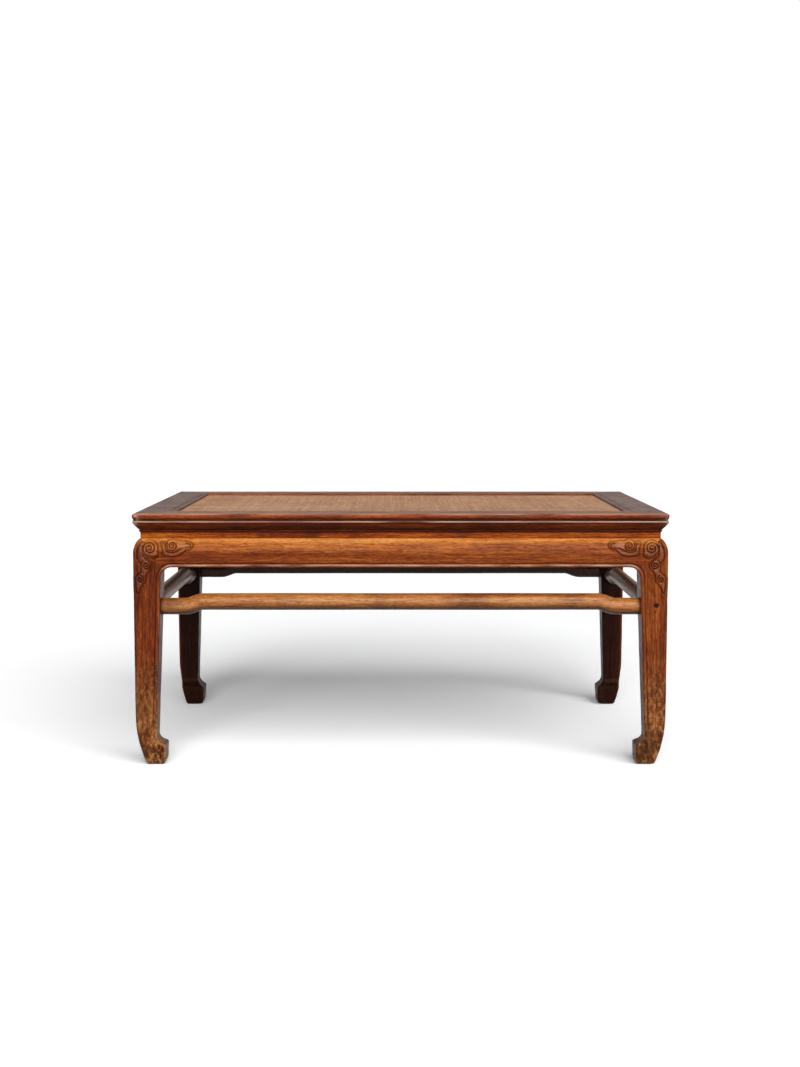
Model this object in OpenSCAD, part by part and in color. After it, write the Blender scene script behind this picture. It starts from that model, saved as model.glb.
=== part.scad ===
// Low waisted meditation stool: a mitred frame with a soft woven seat, on four legs with hoof feet.
// Millimetres. The origin is on the floor below the centre of the seat, +Z is up and -Y is the front.
// Near a corner, u and v are the distances in from the frame's outer faces along X and Y.

/* [Overall] */
// Width of the top frame, left to right
top_w = 1037; // [960:5:1160]
// Depth of the top frame, front to back
top_d = 645; // [600:5:740]
// Height of the frame's top above the floor
stool_h = 496; // [450:1:540]

/* [Top frame] */
// Width of a frame rail, seen from above
rail_w = 76; // [72:1:86]
// Height of a frame rail
rail_h = 36.5; // [31:0.5:38]
// Height of the rounded bead at the rail's upper edge
edge_bead_h = 10.8; // [8:0.2:11]
// Depth of the grooves beside the small raised line
edge_groove_in = 3.4; // [2.5:0.1:4]
// Height of the groove below the bead
edge_groove_h = 3.2; // [2.5:0.1:4]
// Height of the small raised line
edge_line_h = 3.8; // [3:0.1:4.5]
// How far the slope below the line draws the edge in
edge_slope_w = 12; // [10:0.5:12.5]
// Height of the thin fillet at the rail's lower edge
edge_fillet_h = 4.2; // [1.5:0.1:5]
// Height of the tenon on a mitred end
mitre_tenon_h = 10; // [8:0.5:11]
// Width of the tenon on a mitred end
mitre_tenon_w = 41; // [36:1:42]
// Wood left outside the tenon at the end of the side rail
mitre_tenon_cover = 14; // [10:1:18]
// Diameter of the pegs that lock the mitred corners from below
corner_peg_d = 6; // [5:0.5:7]

/* [Seat] */
// Width of the rebate that takes the seat's edge
rebate_w = 13; // [12:0.5:15]
// Depth of the rebate below the rail's top
rebate_h = 9; // [8.5:0.5:11]
// Thickness of the woven cane mat
mat_t = 2.5; // [2:0.1:3]
// Thickness of the palm cord net below the mat
net_t = 2; // [1.6:0.1:2.4]
// Width of a cord band in the net
net_band = 14; // [8:1:18]
// Openings in the net along the stool's width
net_cells_x = 20; // [14:1:22]
// Openings in the net along the stool's depth
net_cells_y = 11; // [8:1:13]
// Thickness of the strips that press the mat into the rebate
strip_t = 4; // [3.5:0.1:4]
// Diameter of the lacing holes in the rebate
lacing_hole_d = 4; // [3:0.5:5]
// Lacing holes along a long rail, an even count
lacing_n_long = 24; // [20:2:26]
// Lacing holes along a short rail, an even count
lacing_n_short = 14; // [12:2:16]
// Diameter of the bamboo pins through the strips
strip_pin_d = 2.6; // [2:0.2:3.2]
// How deep a bamboo pin enters the rail
strip_pin_depth = 7; // [5:0.5:9]
// Width of a brace below the seat
brace_w = 30; // [24:1:34]
// Height of a brace
brace_h = 22; // [18:0.5:22]
// How far a brace sags in its middle, clear of the seat
brace_sag = 20; // [12:1:26]
// Depth of a brace's tenon in the long rail
brace_tenon_l = 18; // [12:1:22]

/* [Waist] */
// Height of the waist
waist_h = 12; // [10:0.5:22]
// Distance of the waist in from the frame's outer face
waist_in = 15; // [14.7:0.1:17]
// Thickness of a waist board
waist_t = 13; // [12:0.5:14]
// Thickness of the tongue on the waist's upper edge
tongue_t = 4; // [3:0.5:4.5]
// Height of the tongue
tongue_h = 4; // [3:0.5:5]

/* [Apron] */
// Height of an apron
apron_h = 55.5; // [54:0.5:70]
// Distance of the aprons' and legs' faces in from the frame's outer face
face_in = 1.8; // [1.6:0.1:4]
// Height of the rounded shoulder at an apron's top
shoulder_h = 28; // [20:1:34]
// Radius of the spandrel between an apron and a leg
spandrel_r = 22; // [14:1:30]
// Width of the bead along the lower edge
bead_w = 7.5; // [6:0.5:9]
// How far the bead stands proud
bead_proud = 1.2; // [0.8:0.1:1.5]
// Diameter of the dowels from an apron through the waist to the frame
dowel_d = 4.4; // [3.5:0.1:4.6]
// How deep a dowel enters the apron and the rail
dowel_depth = 12; // [8:1:14]

/* [Legs] */
// Thickness of a leg at its top
leg_w = 53; // [49:0.5:56]
// Width from the line of a leg's upright face to its inner side at the ankle
ankle_w = 41; // [38:0.5:44]
// Height of the ankle, where the foot starts to flare
ankle_z = 61; // [54:0.5:66]
// Radius of the flare at the ankle
ankle_r = 18; // [14:1:20]
// Reach of the toe beyond the ankle
toe_reach = 15.5; // [13.5:0.5:18]
// Height of the toe's rounded upper corner
toe_corner_r = 4; // [3:0.5:6]
// How far the foot's lower edges draw in
sole_bevel = 6; // [4:0.5:8]
// Height where the outer edge starts to curve in
heel_z = 110; // [95:1:130]
// How far the outer edge has curved in at the floor
heel_in = 18; // [14:0.5:20]
// Length of the long tenon into the long rail
long_tenon = 17; // [12:0.5:18]
// Length of the short tenon into the short rail
short_tenon = 8; // [5:0.5:8.5]
// Width of the pin on a leg that an apron hangs on
hang_pin_w = 9; // [7:0.5:10]
// How far that pin stands out of the leg
hang_pin_t = 8; // [6:0.5:10]
// Depth of that pin's upper end below the apron's top
hang_pin_drop = 12; // [10:0.5:16]

/* [Stretchers] */
// Diameter of a stretcher
stretcher_d = 33; // [28:0.5:34]
// Height of the front and back stretchers at their ends
stretcher_z = 313; // [280:1:322]
// How much lower the side stretchers are
stretcher_drop = 7; // [0:0.5:12]
// Rise of the hump above the ends
hump_rise = 9; // [7:0.5:12]
// Straight length between a leg and the start of the rise
hump_start = 44; // [30:1:54]
// Length over which the stretcher rises
hump_run = 36; // [34:1:48]
// Height of a stretcher's tenon
stretcher_tenon_h = 22; // [18:0.5:23]
// Width of a stretcher's tenon
stretcher_tenon_w = 13; // [10:0.5:14]
// How far a front or back stretcher's tenon passes the leg's middle
cross_tenon_past = 11; // [8:0.5:12]
// Diameter of the peg through the front right joint
peg_d = 8.6; // [6:0.2:9]

/* [Fits] */
// Clearance round tenons, pegs and pins
fit = 0.15; // [0.05:0.05:0.25]
// Clearance past the end of a tenon, peg or pin
end_gap = 0.5; // [0.2:0.1:1]

/* [Hidden] */

frame_wood = [0.36, 0.17, 0.09];
apron_wood = [0.58, 0.33, 0.16];
leg_wood = [0.48, 0.25, 0.12];
stretcher_wood = [0.66, 0.43, 0.24];
cane_colour = [0.66, 0.53, 0.42];
palm_colour = [0.42, 0.30, 0.18];
peg_colour = [0.20, 0.11, 0.06];

round_fn = 48;
eps = 0.5;

// Least wood left between two joints, and how far a tenon is rooted in its own piece
wood_left = 2;
tenon_root = 4;

// Levels, from the top down
rail_z = stool_h - rail_h;
waist_z = rail_z - waist_h;
apron_z = waist_z - apron_h;
spandrel_z = apron_z - spandrel_r;
rebate_z = stool_h - rebate_h;
mat_z = rebate_z + net_t;
strip_z = mat_z + mat_t;
strip_top = strip_z + strip_t;
tenon_z = rail_z + (rebate_z - rail_z - mitre_tenon_h + wood_left) / 2;

// Distances in from the frame's outer faces
rebate_in = rail_w - rebate_w;
lacing_in = rebate_in + rebate_w / 2;
tongue_in = waist_in + wood_left;
dowel_in = (tongue_in + tongue_t + waist_in + waist_t) / 2;
apron_inner = waist_in + waist_t;
shoulder_in = waist_in + 1;
leg_in = face_in + leg_w;
ankle_in = face_in + ankle_w;
toe_in = ankle_in + toe_reach;
axis_in = face_in + leg_w / 2;

// The seat's opening, and the even spacing of the lacing holes round it
open_w = top_w - 2 * rail_w;
open_d = top_d - 2 * rail_w;
pitch_long = open_w / lacing_n_long;
pitch_short = open_d / lacing_n_short;
brace_x = pitch_long * round(lacing_n_long / 6);
brace_z = rebate_z - brace_h - wood_left;
brace_tenon_h = brace_h / 2;
brace_tenon_w = min(brace_w - 3 * wood_left, pitch_long - lacing_hole_d - 2 * wood_left);
brace_sag_power = 2.4;

// Pins and dowels of a side, by their places from its middle as shares of its length
long_pin_share = 0.45;
mid_pin_share = 0.25;
short_pin_share = 0.36;
long_dowel_share = 0.3;
short_dowel_share = 0.22;
long_pins = [for (k = [-1:1]) k * pitch_long * round(lacing_n_long * long_pin_share)];
mid_pins = [for (k = [-1, 1]) k * pitch_long * round(lacing_n_long * mid_pin_share)];
short_pins = [for (k = [-1:1]) k * pitch_short * round(lacing_n_short * short_pin_share)];
dowels_long = [for (k = [-1:1]) k * top_w * long_dowel_share];
dowels_short = [for (k = [-1, 1]) k * top_d * short_dowel_share];

// A leg's neck behind the waist, and the two tenons on it, clear of the mitre
neck = leg_in - apron_inner;
tenon_edge = 1;
near_tenon_share = 0.41;
far_tenon_share = 0.46;
near_tenon = [apron_inner + tenon_edge, apron_inner + neck * near_tenon_share];
far_tenon = [leg_in - neck * far_tenon_share, leg_in - tenon_edge];
corner_peg_u = leg_in - corner_peg_d - wood_left;
corner_peg_v = leg_in + corner_peg_d / 2 + wood_left;
corner_peg_top = tenon_z + mitre_tenon_h + 2.5 * wood_left;
mitre_tenon_in = rebate_in + tenon_edge;

// The pin that an apron hangs on, beside the mitre
hang_pin_in = axis_in + hang_pin_w;
hang_pin_top = waist_z - hang_pin_drop;

// Stretcher tenons: the front and back ones pass the leg's middle, the side ones stop beside them
cross_tenon_end = axis_in - cross_tenon_past;
side_tenon_end = axis_in + stretcher_tenon_w / 2 + 1.5 * wood_left;
peg_in = cross_tenon_end + peg_d / 2 + wood_left;
peg_z = stretcher_z + (stretcher_tenon_h - peg_d) / 2 - wood_left;
side_stretcher_z = stretcher_z - stretcher_drop;

// How far a round bar runs into a leg before its end is cut to the leg's side
bar_sink = leg_w / 4;

// Points on an arc about c
function arc(c, r, from, to, n) = [for (i = [0:n]) let (a = from + (to - from) * i / n)
    [c[0] + r[0] * cos(a), c[1] + r[1] * sin(a)]];

// The slope's fullness, from 1 for a straight slope to 2 for a quarter of an ellipse
slope_power = 1.1;
function slope_curve(c, r, n = 10) = [for (i = [0:n]) let (a = 90 * i / n)
    [c[0] - r[0] * pow(cos(a), 2 / slope_power), c[1] - r[1] * pow(sin(a), 2 / slope_power)]];

// The rail's section, as distance in and height above its underside
fillet_step = 1.4;
function rail_section() =
    let (bead = edge_bead_h / 2, line = edge_line_h / 2,
         line_top = rail_h - edge_bead_h - edge_groove_h,
         slope_top = line_top - edge_line_h)
    concat([[rail_w, 0], [rail_w, rail_h - rebate_h], [rebate_in, rail_h - rebate_h],
            [rebate_in, rail_h]],
        arc([bead, rail_h - bead], [bead, bead], 90, 240, 10),
        [[edge_groove_in, rail_h - edge_bead_h], [edge_groove_in, line_top]],
        arc([edge_groove_in, line_top - line], [line, line], 90, 270, 6),
        slope_curve([edge_slope_w + face_in, slope_top], [edge_slope_w, slope_top - edge_fillet_h]),
        [[edge_slope_w + face_in - fillet_step, edge_fillet_h], [edge_slope_w + face_in - fillet_step, 0]]);

// The shoulder's curve, from the upright face in to the waist
shoulder_power = 1.7;
function shoulder_curve(n = 9) = [for (i = [0:n]) let (a = 90 * i / n)
    [face_in + (shoulder_in - face_in) * (1 - pow(cos(a), 2 / shoulder_power)),
     waist_z - shoulder_h * (1 - pow(sin(a), 2 / shoulder_power))]];

// The heel's curve, from the upright face down to the floor
heel_power = 2.2;
function heel_curve(n = 9) = [for (i = [0:n])
    [face_in + heel_in * pow(1 - i / n, heel_power), heel_z * i / n]];

// The toe and ankle, from the floor up to where the leg is straight
toe_lean = 1;
sole_rise = 1.8;
function toe_curve() =
    let (top = ankle_z - ankle_r, c = [ankle_in + ankle_r, ankle_z])
    concat([[toe_in - sole_bevel, 0], [toe_in - toe_lean, sole_bevel * sole_rise]],
        arc([toe_in - toe_corner_r, top - toe_corner_r], [toe_corner_r, toe_corner_r], 0, 80, 4),
        arc(c, [ankle_r, ankle_r], 255, 180, 7));

// A leg's outline from the front or the side, as distance in and height
function leg_outline() = concat(shoulder_curve(), [[leg_in, waist_z], [leg_in, spandrel_z]],
    [for (i = [len(toe_curve()) - 1:-1:0]) toe_curve()[i]], heel_curve());

// Distance in of the leg's inner face at height z
function leg_inner(z) = ankle_in + (leg_in - ankle_in) * min(1, (z - ankle_z) / (spandrel_z - ankle_z));

// The seam between a leg and an apron runs from the waist to the inner corner and on past it
seam_top = [shoulder_in, waist_z];
seam_past = 0.4;
seam_low = [leg_in, apron_z] + ([leg_in, apron_z] - seam_top) * seam_past;

module mirror_if(on, axis) {
    if (on) mirror(axis) children();
    else children();
}

// Moves a shape drawn in u, v and z to one of the four corners
module at_corner(right, back) {
    mirror_if(right, [1, 0, 0]) mirror_if(back, [0, 1, 0])
        translate([-top_w / 2, -top_d / 2, 0]) children();
}

// Swaps u and v
module swap() {
    mirror([1, -1, 0]) children();
}

// Extrudes an outline drawn in (y, z) along X, or one drawn in (x, z) along Y
module along_x(from, to) {
    translate([from, 0, 0]) rotate([90, 0, 90]) linear_extrude(to - from) children();
}
module along_y(from, to) {
    translate([0, to, 0]) rotate([90, 0, 0]) linear_extrude(to - from) children();
}

// A block from one corner to the other
module block(low, high) {
    translate(low) cube(high - low);
}

// The plan of what belongs to one side, cut at 45 degrees at both ends
module mitre_plan(length, width, from_in, to_in) {
    polygon([[-length / 2 + from_in, -width / 2 + from_in], [length / 2 - from_in, -width / 2 + from_in],
        [length / 2 - to_in, -width / 2 + to_in], [-length / 2 + to_in, -width / 2 + to_in]]);
}

// An upright pin in a hole: gap is 0 for the pin itself
module upright_pin(d, low, high, gap = 0, end = 0) {
    translate([0, 0, low - end]) cylinder(d = d + 2 * gap, h = high - low + 2 * end, $fn = 24);
}

// Tenon on the long rail's mitred end, in u, v and z
module mitre_tenon(gap = 0, end = 0) {
    block([mitre_tenon_cover - end, mitre_tenon_in - mitre_tenon_w - gap, tenon_z - gap],
        [rebate_in + tenon_root, mitre_tenon_in + gap, tenon_z + mitre_tenon_h + gap]);
}

// Peg that locks the mitred corner from below
module corner_peg(gap = 0, end = 0) {
    translate([corner_peg_u, corner_peg_v, 0])
        upright_pin(corner_peg_d, rail_z, corner_peg_top, gap, end);
}

// Tenons on a leg's neck
module long_leg_tenon(gap = 0, end = 0) {
    block([far_tenon[0] - gap, near_tenon[0] - gap, rail_z - eps],
        [far_tenon[1] + gap, near_tenon[1] + gap, rail_z + long_tenon + end]);
}
module short_leg_tenon(gap = 0, end = 0) {
    block([near_tenon[0] - gap, far_tenon[0] - gap, rail_z - eps],
        [near_tenon[1] + gap, far_tenon[1] + gap, rail_z + short_tenon + end]);
}

// Pin on a leg that the front or back apron drops onto
module hang_pin(gap = 0, end = 0) {
    block([hang_pin_in - hang_pin_w / 2 - gap, apron_inner - hang_pin_t - end, apron_z - 4 * end],
        [hang_pin_in + hang_pin_w / 2 + gap, apron_inner + tenon_root / 2, hang_pin_top + end]);
}

// Tongue on a waist board, as a plan from its outer to its inner face
module tongue_plan(length, width, gap = 0) {
    mitre_plan(length, width, tongue_in - gap, tongue_in + tongue_t + gap);
}

// Dowels of one side, in that side's own place
module side_dowels(width, places, gap = 0, end = 0) {
    for (x = places) translate([x, -width / 2 + dowel_in, 0])
        upright_pin(dowel_d, waist_z - dowel_depth, rail_z + dowel_depth - wood_left, gap, end);
}

// Lacing pegs and strip pins of one side
module side_lacing(width, n, pitch, gap = 0, end = 0) {
    for (i = [0:n - 1]) translate([(i - (n - 1) / 2) * pitch, -width / 2 + lacing_in, 0])
        upright_pin(lacing_hole_d, rail_z, rebate_z, gap, end);
}
module side_strip_pins(width, places, gap = 0, end = 0) {
    for (x = places) translate([x, -width / 2 + lacing_in, 0])
        upright_pin(strip_pin_d, rebate_z - strip_pin_depth, strip_top, gap, end);
}

// Tenon on a brace's front end
module brace_tenon(gap = 0, end = 0) {
    mid = brace_z + brace_h / 2;
    block([-brace_tenon_w / 2 - gap, -open_d / 2 - brace_tenon_l - end, mid - brace_tenon_h / 2 - gap],
        [brace_tenon_w / 2 + gap, -open_d / 2 + tenon_edge, mid + brace_tenon_h / 2 + gap]);
}

// A rail with its moulded edge, mitred at both ends, before its joints
module plain_rail(length, width) {
    intersection() {
        translate([0, -width / 2, rail_z]) along_x(-length / 2, length / 2) polygon(rail_section());
        translate([0, 0, rail_z - 1]) linear_extrude(rail_h + 2) mitre_plan(length, width, 0, rail_w);
    }
}

// Front rail: tenons at its ends, mortises for the legs and the braces
module long_rail() {
    difference() {
        union() {
            plain_rail(top_w, top_d);
            for (right = [false, true]) at_corner(right, false) mitre_tenon();
        }
        for (right = [false, true]) at_corner(right, false) {
            long_leg_tenon(fit, end_gap);
            corner_peg(fit, end_gap);
        }
        for (side = [-1, 1]) translate([side * brace_x, 0, 0]) brace_tenon(fit, end_gap);
        translate([0, 0, rail_z - 1]) linear_extrude(tongue_h + end_gap + 1)
            tongue_plan(top_w, top_d, fit);
        side_dowels(top_d, dowels_long, fit, end_gap);
        side_lacing(top_d, lacing_n_long, pitch_long, fit, end_gap);
        side_strip_pins(top_d, concat(long_pins, mid_pins), fit, end_gap);
    }
}

// Side rail, drawn at the front: mortises for the long rails' tenons and the legs
module short_rail() {
    difference() {
        plain_rail(top_d, top_w);
        for (right = [false, true]) mirror_if(right, [1, 0, 0])
            translate([-top_d / 2, -top_w / 2, 0]) swap() {
                mitre_tenon(fit, end_gap);
                short_leg_tenon(fit, end_gap);
                corner_peg(fit, end_gap);
            }
        translate([0, 0, rail_z - 1]) linear_extrude(tongue_h + end_gap + 1)
            tongue_plan(top_d, top_w, fit);
        side_dowels(top_w, dowels_short, fit, end_gap);
        side_lacing(top_w, lacing_n_short, pitch_short, fit, end_gap);
        side_strip_pins(top_w, short_pins, fit, end_gap);
    }
}

// Turns what is drawn at the front to the left side
module to_left() {
    rotate([0, 0, -90]) children();
}

// Brace that sags below the soft seat, tenoned into both long rails
module seat_brace() {
    half = open_d / 2;
    steps = 24;
    function sag(y) = brace_sag * (1 - pow(abs(y) / half, brace_sag_power));
    rows = [for (i = [0:steps]) -half + 2 * half * i / steps];
    color(apron_wood) {
        along_x(-brace_w / 2, brace_w / 2) polygon(concat(
            [for (y = rows) [y, brace_z - sag(y)]],
            [for (i = [steps:-1:0]) [rows[i], brace_z + brace_h - sag(rows[i])]]));
        for (back = [false, true]) mirror_if(back, [0, 1, 0]) brace_tenon();
    }
}

// Outline of the net and the mat, which reach under the strips
module seat_plan() {
    square([top_w - 2 * (rebate_in + fit), top_d - 2 * (rebate_in + fit)], center = true);
}

// Holes through the seat's edge for the strip pins
module all_strip_pins(gap = 0, end = 0) {
    for (turn = [0, 180]) rotate([0, 0, turn]) {
        side_strip_pins(top_d, concat(long_pins, mid_pins), gap, end);
        to_left() side_strip_pins(top_w, short_pins, gap, end);
    }
}

// Net of palm cord that carries the mat
module palm_net() {
    cell_w = (open_w - (net_cells_x + 1) * net_band) / net_cells_x;
    cell_d = (open_d - (net_cells_y + 1) * net_band) / net_cells_y;
    color(palm_colour) difference() {
        translate([0, 0, rebate_z]) linear_extrude(net_t) difference() {
            seat_plan();
            for (i = [0:net_cells_x - 1], j = [0:net_cells_y - 1])
                translate([-open_w / 2 + net_band + i * (cell_w + net_band),
                    -open_d / 2 + net_band + j * (cell_d + net_band)]) square([cell_w, cell_d]);
        }
        all_strip_pins(fit, 0);
    }
}

// Woven cane mat, drawn as a plain sheet
module cane_mat() {
    color(cane_colour) difference() {
        translate([0, 0, mat_z]) linear_extrude(mat_t) seat_plan();
        all_strip_pins(fit, 0);
    }
}

// Strip that presses the mat's edge into the rebate
module seat_strip(length, width, places) {
    color(frame_wood) difference() {
        translate([0, 0, strip_z]) linear_extrude(strip_t)
            mitre_plan(length, width, rebate_in + fit, rail_w);
        side_strip_pins(width, places, fit, end_gap);
    }
}

// Waist board with its tongue
module waist(length, width, places) {
    color(frame_wood) difference() {
        union() {
            translate([0, 0, waist_z]) linear_extrude(waist_h)
                mitre_plan(length, width, waist_in, waist_in + waist_t);
            translate([0, 0, rail_z - eps]) linear_extrude(tongue_h + eps) tongue_plan(length, width);
        }
        side_dowels(width, places, fit, end_gap);
    }
}

// The arch below an apron and between the legs; grow moves its edge outward
module arch(length, grow = 0) {
    half = length / 2 - leg_in + grow;
    top = apron_z + grow;
    r = spandrel_r + grow;
    translate([-half, 0]) square([2 * half, top - r]);
    translate([-half + r, 0]) square([2 * (half - r), top]);
    for (side = [-1, 1]) translate([side * (half - r), top - r]) circle(r, $fn = round_fn);
}

// What an apron keeps between its two seams, seen from its front
module between_seams(length) {
    polygon([[-length / 2 + seam_top[0], seam_top[1]], [-length / 2 + seam_low[0], seam_low[1]],
        [length / 2 - seam_low[0], seam_low[1]], [length / 2 - seam_top[0], seam_top[1]]]);
}

// Apron with its rounded shoulder, spandrels and beaded lower edge
module apron(length, width, places) {
    section = concat([[face_in, seam_low[1]]], shoulder_curve(),
        [[apron_inner, waist_z], [apron_inner, seam_low[1]]]);
    color(apron_wood) difference() {
        union() {
            intersection() {
                translate([0, -width / 2, 0]) along_x(-length / 2, length / 2) polygon(section);
                along_y(-width / 2, -width / 2 + apron_inner) difference() {
                    between_seams(length);
                    arch(length);
                }
                linear_extrude(stool_h) mitre_plan(length, width, 0, apron_inner);
            }
            along_y(-width / 2 + face_in - bead_proud, -width / 2 + face_in + eps) intersection() {
                between_seams(length);
                difference() {
                    arch(length, bead_w);
                    arch(length);
                }
            }
        }
        for (right = [false, true]) mirror_if(right, [1, 0, 0])
            translate([-length / 2, -width / 2, 0]) hang_pin(fit, end_gap);
        side_dowels(width, places, fit, end_gap);
    }
}

// The part of a spandrel that stands on the leg
module leg_spandrel_shape() {
    difference() {
        translate([leg_in - eps, spandrel_z]) square([spandrel_r + eps, spandrel_r]);
        translate([leg_in + spandrel_r, spandrel_z]) circle(spandrel_r, $fn = round_fn);
    }
}

// The bead round the spandrel, and the band in which it runs on down the leg's inner edge
module spandrel_bead_shape() {
    translate([leg_in + spandrel_r, spandrel_z]) intersection() {
        difference() {
            circle(spandrel_r + bead_w, $fn = round_fn);
            circle(spandrel_r, $fn = round_fn);
        }
        translate([-2 * spandrel_r, 0]) square([2 * spandrel_r, 2 * spandrel_r]);
    }
}
module leg_bead_shape() {
    low = ankle_z + ankle_r / 2;
    polygon([[leg_in + bead_w, spandrel_z], [leg_in - bead_w, spandrel_z],
        [leg_inner(low) - bead_w, low + bead_w], [leg_inner(low) + bead_w, low - bead_w]]);
}
module leg_bead() {
    intersection() {
        along_y(0, apron_inner) polygon(leg_outline());
        along_x(0, 2 * leg_in) translate([-bead_proud, 0]) polygon(leg_outline());
        along_y(0, 2 * leg_in) leg_bead_shape();
    }
}

// The space that the front or back apron takes from the leg
module apron_zone() {
    far = leg_in + 3 * spandrel_r;
    along_y(-1, apron_inner) polygon([seam_top, seam_low, [far, seam_low[1]], [far, waist_z + 1],
        [seam_top[0], waist_z + 1]]);
}

// Tenons on the stretchers' left front ends, in u, v and z
module cross_stretcher_tenon(gap = 0, end = 0) {
    block([cross_tenon_end - end, axis_in - stretcher_tenon_w / 2 - gap,
            stretcher_z - stretcher_tenon_h / 2 - gap],
        [leg_in + tenon_root, axis_in + stretcher_tenon_w / 2 + gap,
            stretcher_z + stretcher_tenon_h / 2 + gap]);
}
module side_stretcher_tenon(gap = 0, end = 0) {
    block([axis_in - stretcher_tenon_w / 2 - gap, side_tenon_end - end,
            side_stretcher_z - stretcher_tenon_h / 2 - gap],
        [axis_in + stretcher_tenon_w / 2 + gap, leg_in + tenon_root,
            side_stretcher_z + stretcher_tenon_h / 2 + gap]);
}

// Peg from the front face through the leg and the stretcher's tenon
module joint_peg(gap = 0, end = 0) {
    depth = axis_in + stretcher_tenon_w / 2 + 1 - face_in;
    translate([peg_in, face_in - eps * gap, peg_z]) rotate([-90, 0, 0])
        cylinder(d = peg_d + 2 * gap, h = depth + end + eps * gap, $fn = 32);
}

// Leg with its shoulder, foot, neck and tenons, in u, v and z
module leg_body() {
    difference() {
        intersection() {
            along_y(0, 2 * leg_in) polygon(leg_outline());
            along_x(0, 2 * leg_in) polygon(leg_outline());
        }
        apron_zone();
        swap() apron_zone();
    }
    block([apron_inner, apron_inner, waist_z - eps], [leg_in, leg_in, rail_z]);
    long_leg_tenon();
    short_leg_tenon();
}

// The spandrel, bead and hanging pin on one of a leg's two faces
module leg_face() {
    difference() {
        union() {
            along_y(face_in, apron_inner) leg_spandrel_shape();
            along_y(face_in - bead_proud, face_in + eps) spandrel_bead_shape();
        }
        apron_zone();
    }
    leg_bead();
    intersection() {
        hang_pin();
        linear_extrude(stool_h) polygon([[apron_inner, 0], [leg_in, 0], [leg_in, leg_in],
            [apron_inner, leg_in]]);
    }
}

module leg(right, back) {
    color(leg_wood) at_corner(right, back) difference() {
        union() {
            leg_body();
            leg_face();
            swap() leg_face();
        }
        cross_stretcher_tenon(fit, end_gap);
        side_stretcher_tenon(fit, end_gap);
        if (right && !back) joint_peg(fit, end_gap);
    }
}

// The line of a bar that rises over a hump, from end to end, as distance along and height
function hump_line(length, n = 5) =
    let (half = length / 2, from = half - bar_sink - hump_start,
         rise = [for (i = [0:n]) [from - hump_run * i / n, hump_rise * (1 - cos(180 * i / n)) / 2]])
    concat([[-half, 0]], [for (p = rise) [-p[0], p[1]]], [for (i = [n:-1:0]) rise[i]], [[half, 0]]);

// Slope of stretch i of a line, and of the cut at its point i, which halves the bend there
function slope(line, i) = let (step = line[i + 1] - line[i]) atan2(step[1], step[0]);
function cut_slope(line, i) = i == 0 ? slope(line, 0)
    : i == len(line) - 1 ? slope(line, i - 1) : (slope(line, i - 1) + slope(line, i)) / 2;

// Round bar along X that follows such a line, as rings of points square to it
module humpback_bar(length) {
    line = hump_line(length);
    rings = len(line);
    sides = 32;
    r = stretcher_d / 2;
    points = [for (i = [0:rings - 1], k = [0:sides - 1])
        let (lean = cut_slope(line, i), up = r * sin(360 * k / sides))
        [line[i][0] - up * sin(lean), r * cos(360 * k / sides), line[i][1] + up * cos(lean)]];
    walls = [for (i = [0:rings - 2], k = [0:sides - 1])
        let (a = i * sides + k, b = i * sides + (k + 1) % sides)
        [a, a + sides, b + sides, b]];
    first = [for (k = [0:sides - 1]) k];
    last = [for (k = [sides - 1:-1:0]) (rings - 1) * sides + k];
    polyhedron(points, concat([first, last], walls));
}

// A leg's tapered inner side near the stretchers, as the cut for their ends
module leg_side_shape() {
    low = side_stretcher_z - stretcher_d;
    high = stretcher_z + stretcher_d;
    polygon([[0, low], [leg_inner(low), low], [leg_inner(high), high], [0, high]]);
}

module stretcher(length, width, z) {
    difference() {
        translate([0, -width / 2 + axis_in, z]) humpback_bar(length - 2 * (leg_in - bar_sink));
        for (right = [false, true]) mirror_if(right, [1, 0, 0])
            translate([-length / 2, 0, 0]) along_y(-width / 2, width / 2) leg_side_shape();
    }
}

module cross_stretcher(pegged) {
    color(stretcher_wood) difference() {
        union() {
            stretcher(top_w, top_d, stretcher_z);
            for (right = [false, true]) at_corner(right, false) cross_stretcher_tenon();
        }
        if (pegged) at_corner(true, false) joint_peg(fit, end_gap);
    }
}

module side_stretcher() {
    color(stretcher_wood) {
        stretcher(top_d, top_w, side_stretcher_z);
        for (right = [false, true]) mirror_if(right, [1, 0, 0])
            translate([-top_d / 2, -top_w / 2, 0]) swap() side_stretcher_tenon();
    }
}

module frame_rail_front() { color(frame_wood) long_rail(); }
module frame_rail_back() { color(frame_wood) mirror([0, 1, 0]) long_rail(); }
module frame_rail_left() { color(frame_wood) to_left() short_rail(); }
module frame_rail_right() { mirror([1, 0, 0]) frame_rail_left(); }
module frame_corner_pegs() {
    color(peg_colour) for (right = [false, true], back = [false, true]) at_corner(right, back) corner_peg();
}
module seat_brace_left() { translate([-brace_x, 0, 0]) seat_brace(); }
module seat_brace_right() { translate([brace_x, 0, 0]) seat_brace(); }
module seat_strip_front() { seat_strip(top_w, top_d, concat(long_pins, mid_pins)); }
module seat_strip_back() { mirror([0, 1, 0]) seat_strip_front(); }
module seat_strip_left() { to_left() seat_strip(top_d, top_w, short_pins); }
module seat_strip_right() { mirror([1, 0, 0]) seat_strip_left(); }
module seat_strip_pins() { color(peg_colour) all_strip_pins(); }
module lacing_pegs() {
    color(palm_colour) for (turn = [0, 180]) rotate([0, 0, turn]) {
        side_lacing(top_d, lacing_n_long, pitch_long);
        to_left() side_lacing(top_w, lacing_n_short, pitch_short);
    }
}
module waist_front() { waist(top_w, top_d, dowels_long); }
module waist_back() { mirror([0, 1, 0]) waist_front(); }
module waist_left() { to_left() waist(top_d, top_w, dowels_short); }
module waist_right() { mirror([1, 0, 0]) waist_left(); }
module apron_front() { apron(top_w, top_d, dowels_long); }
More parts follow.
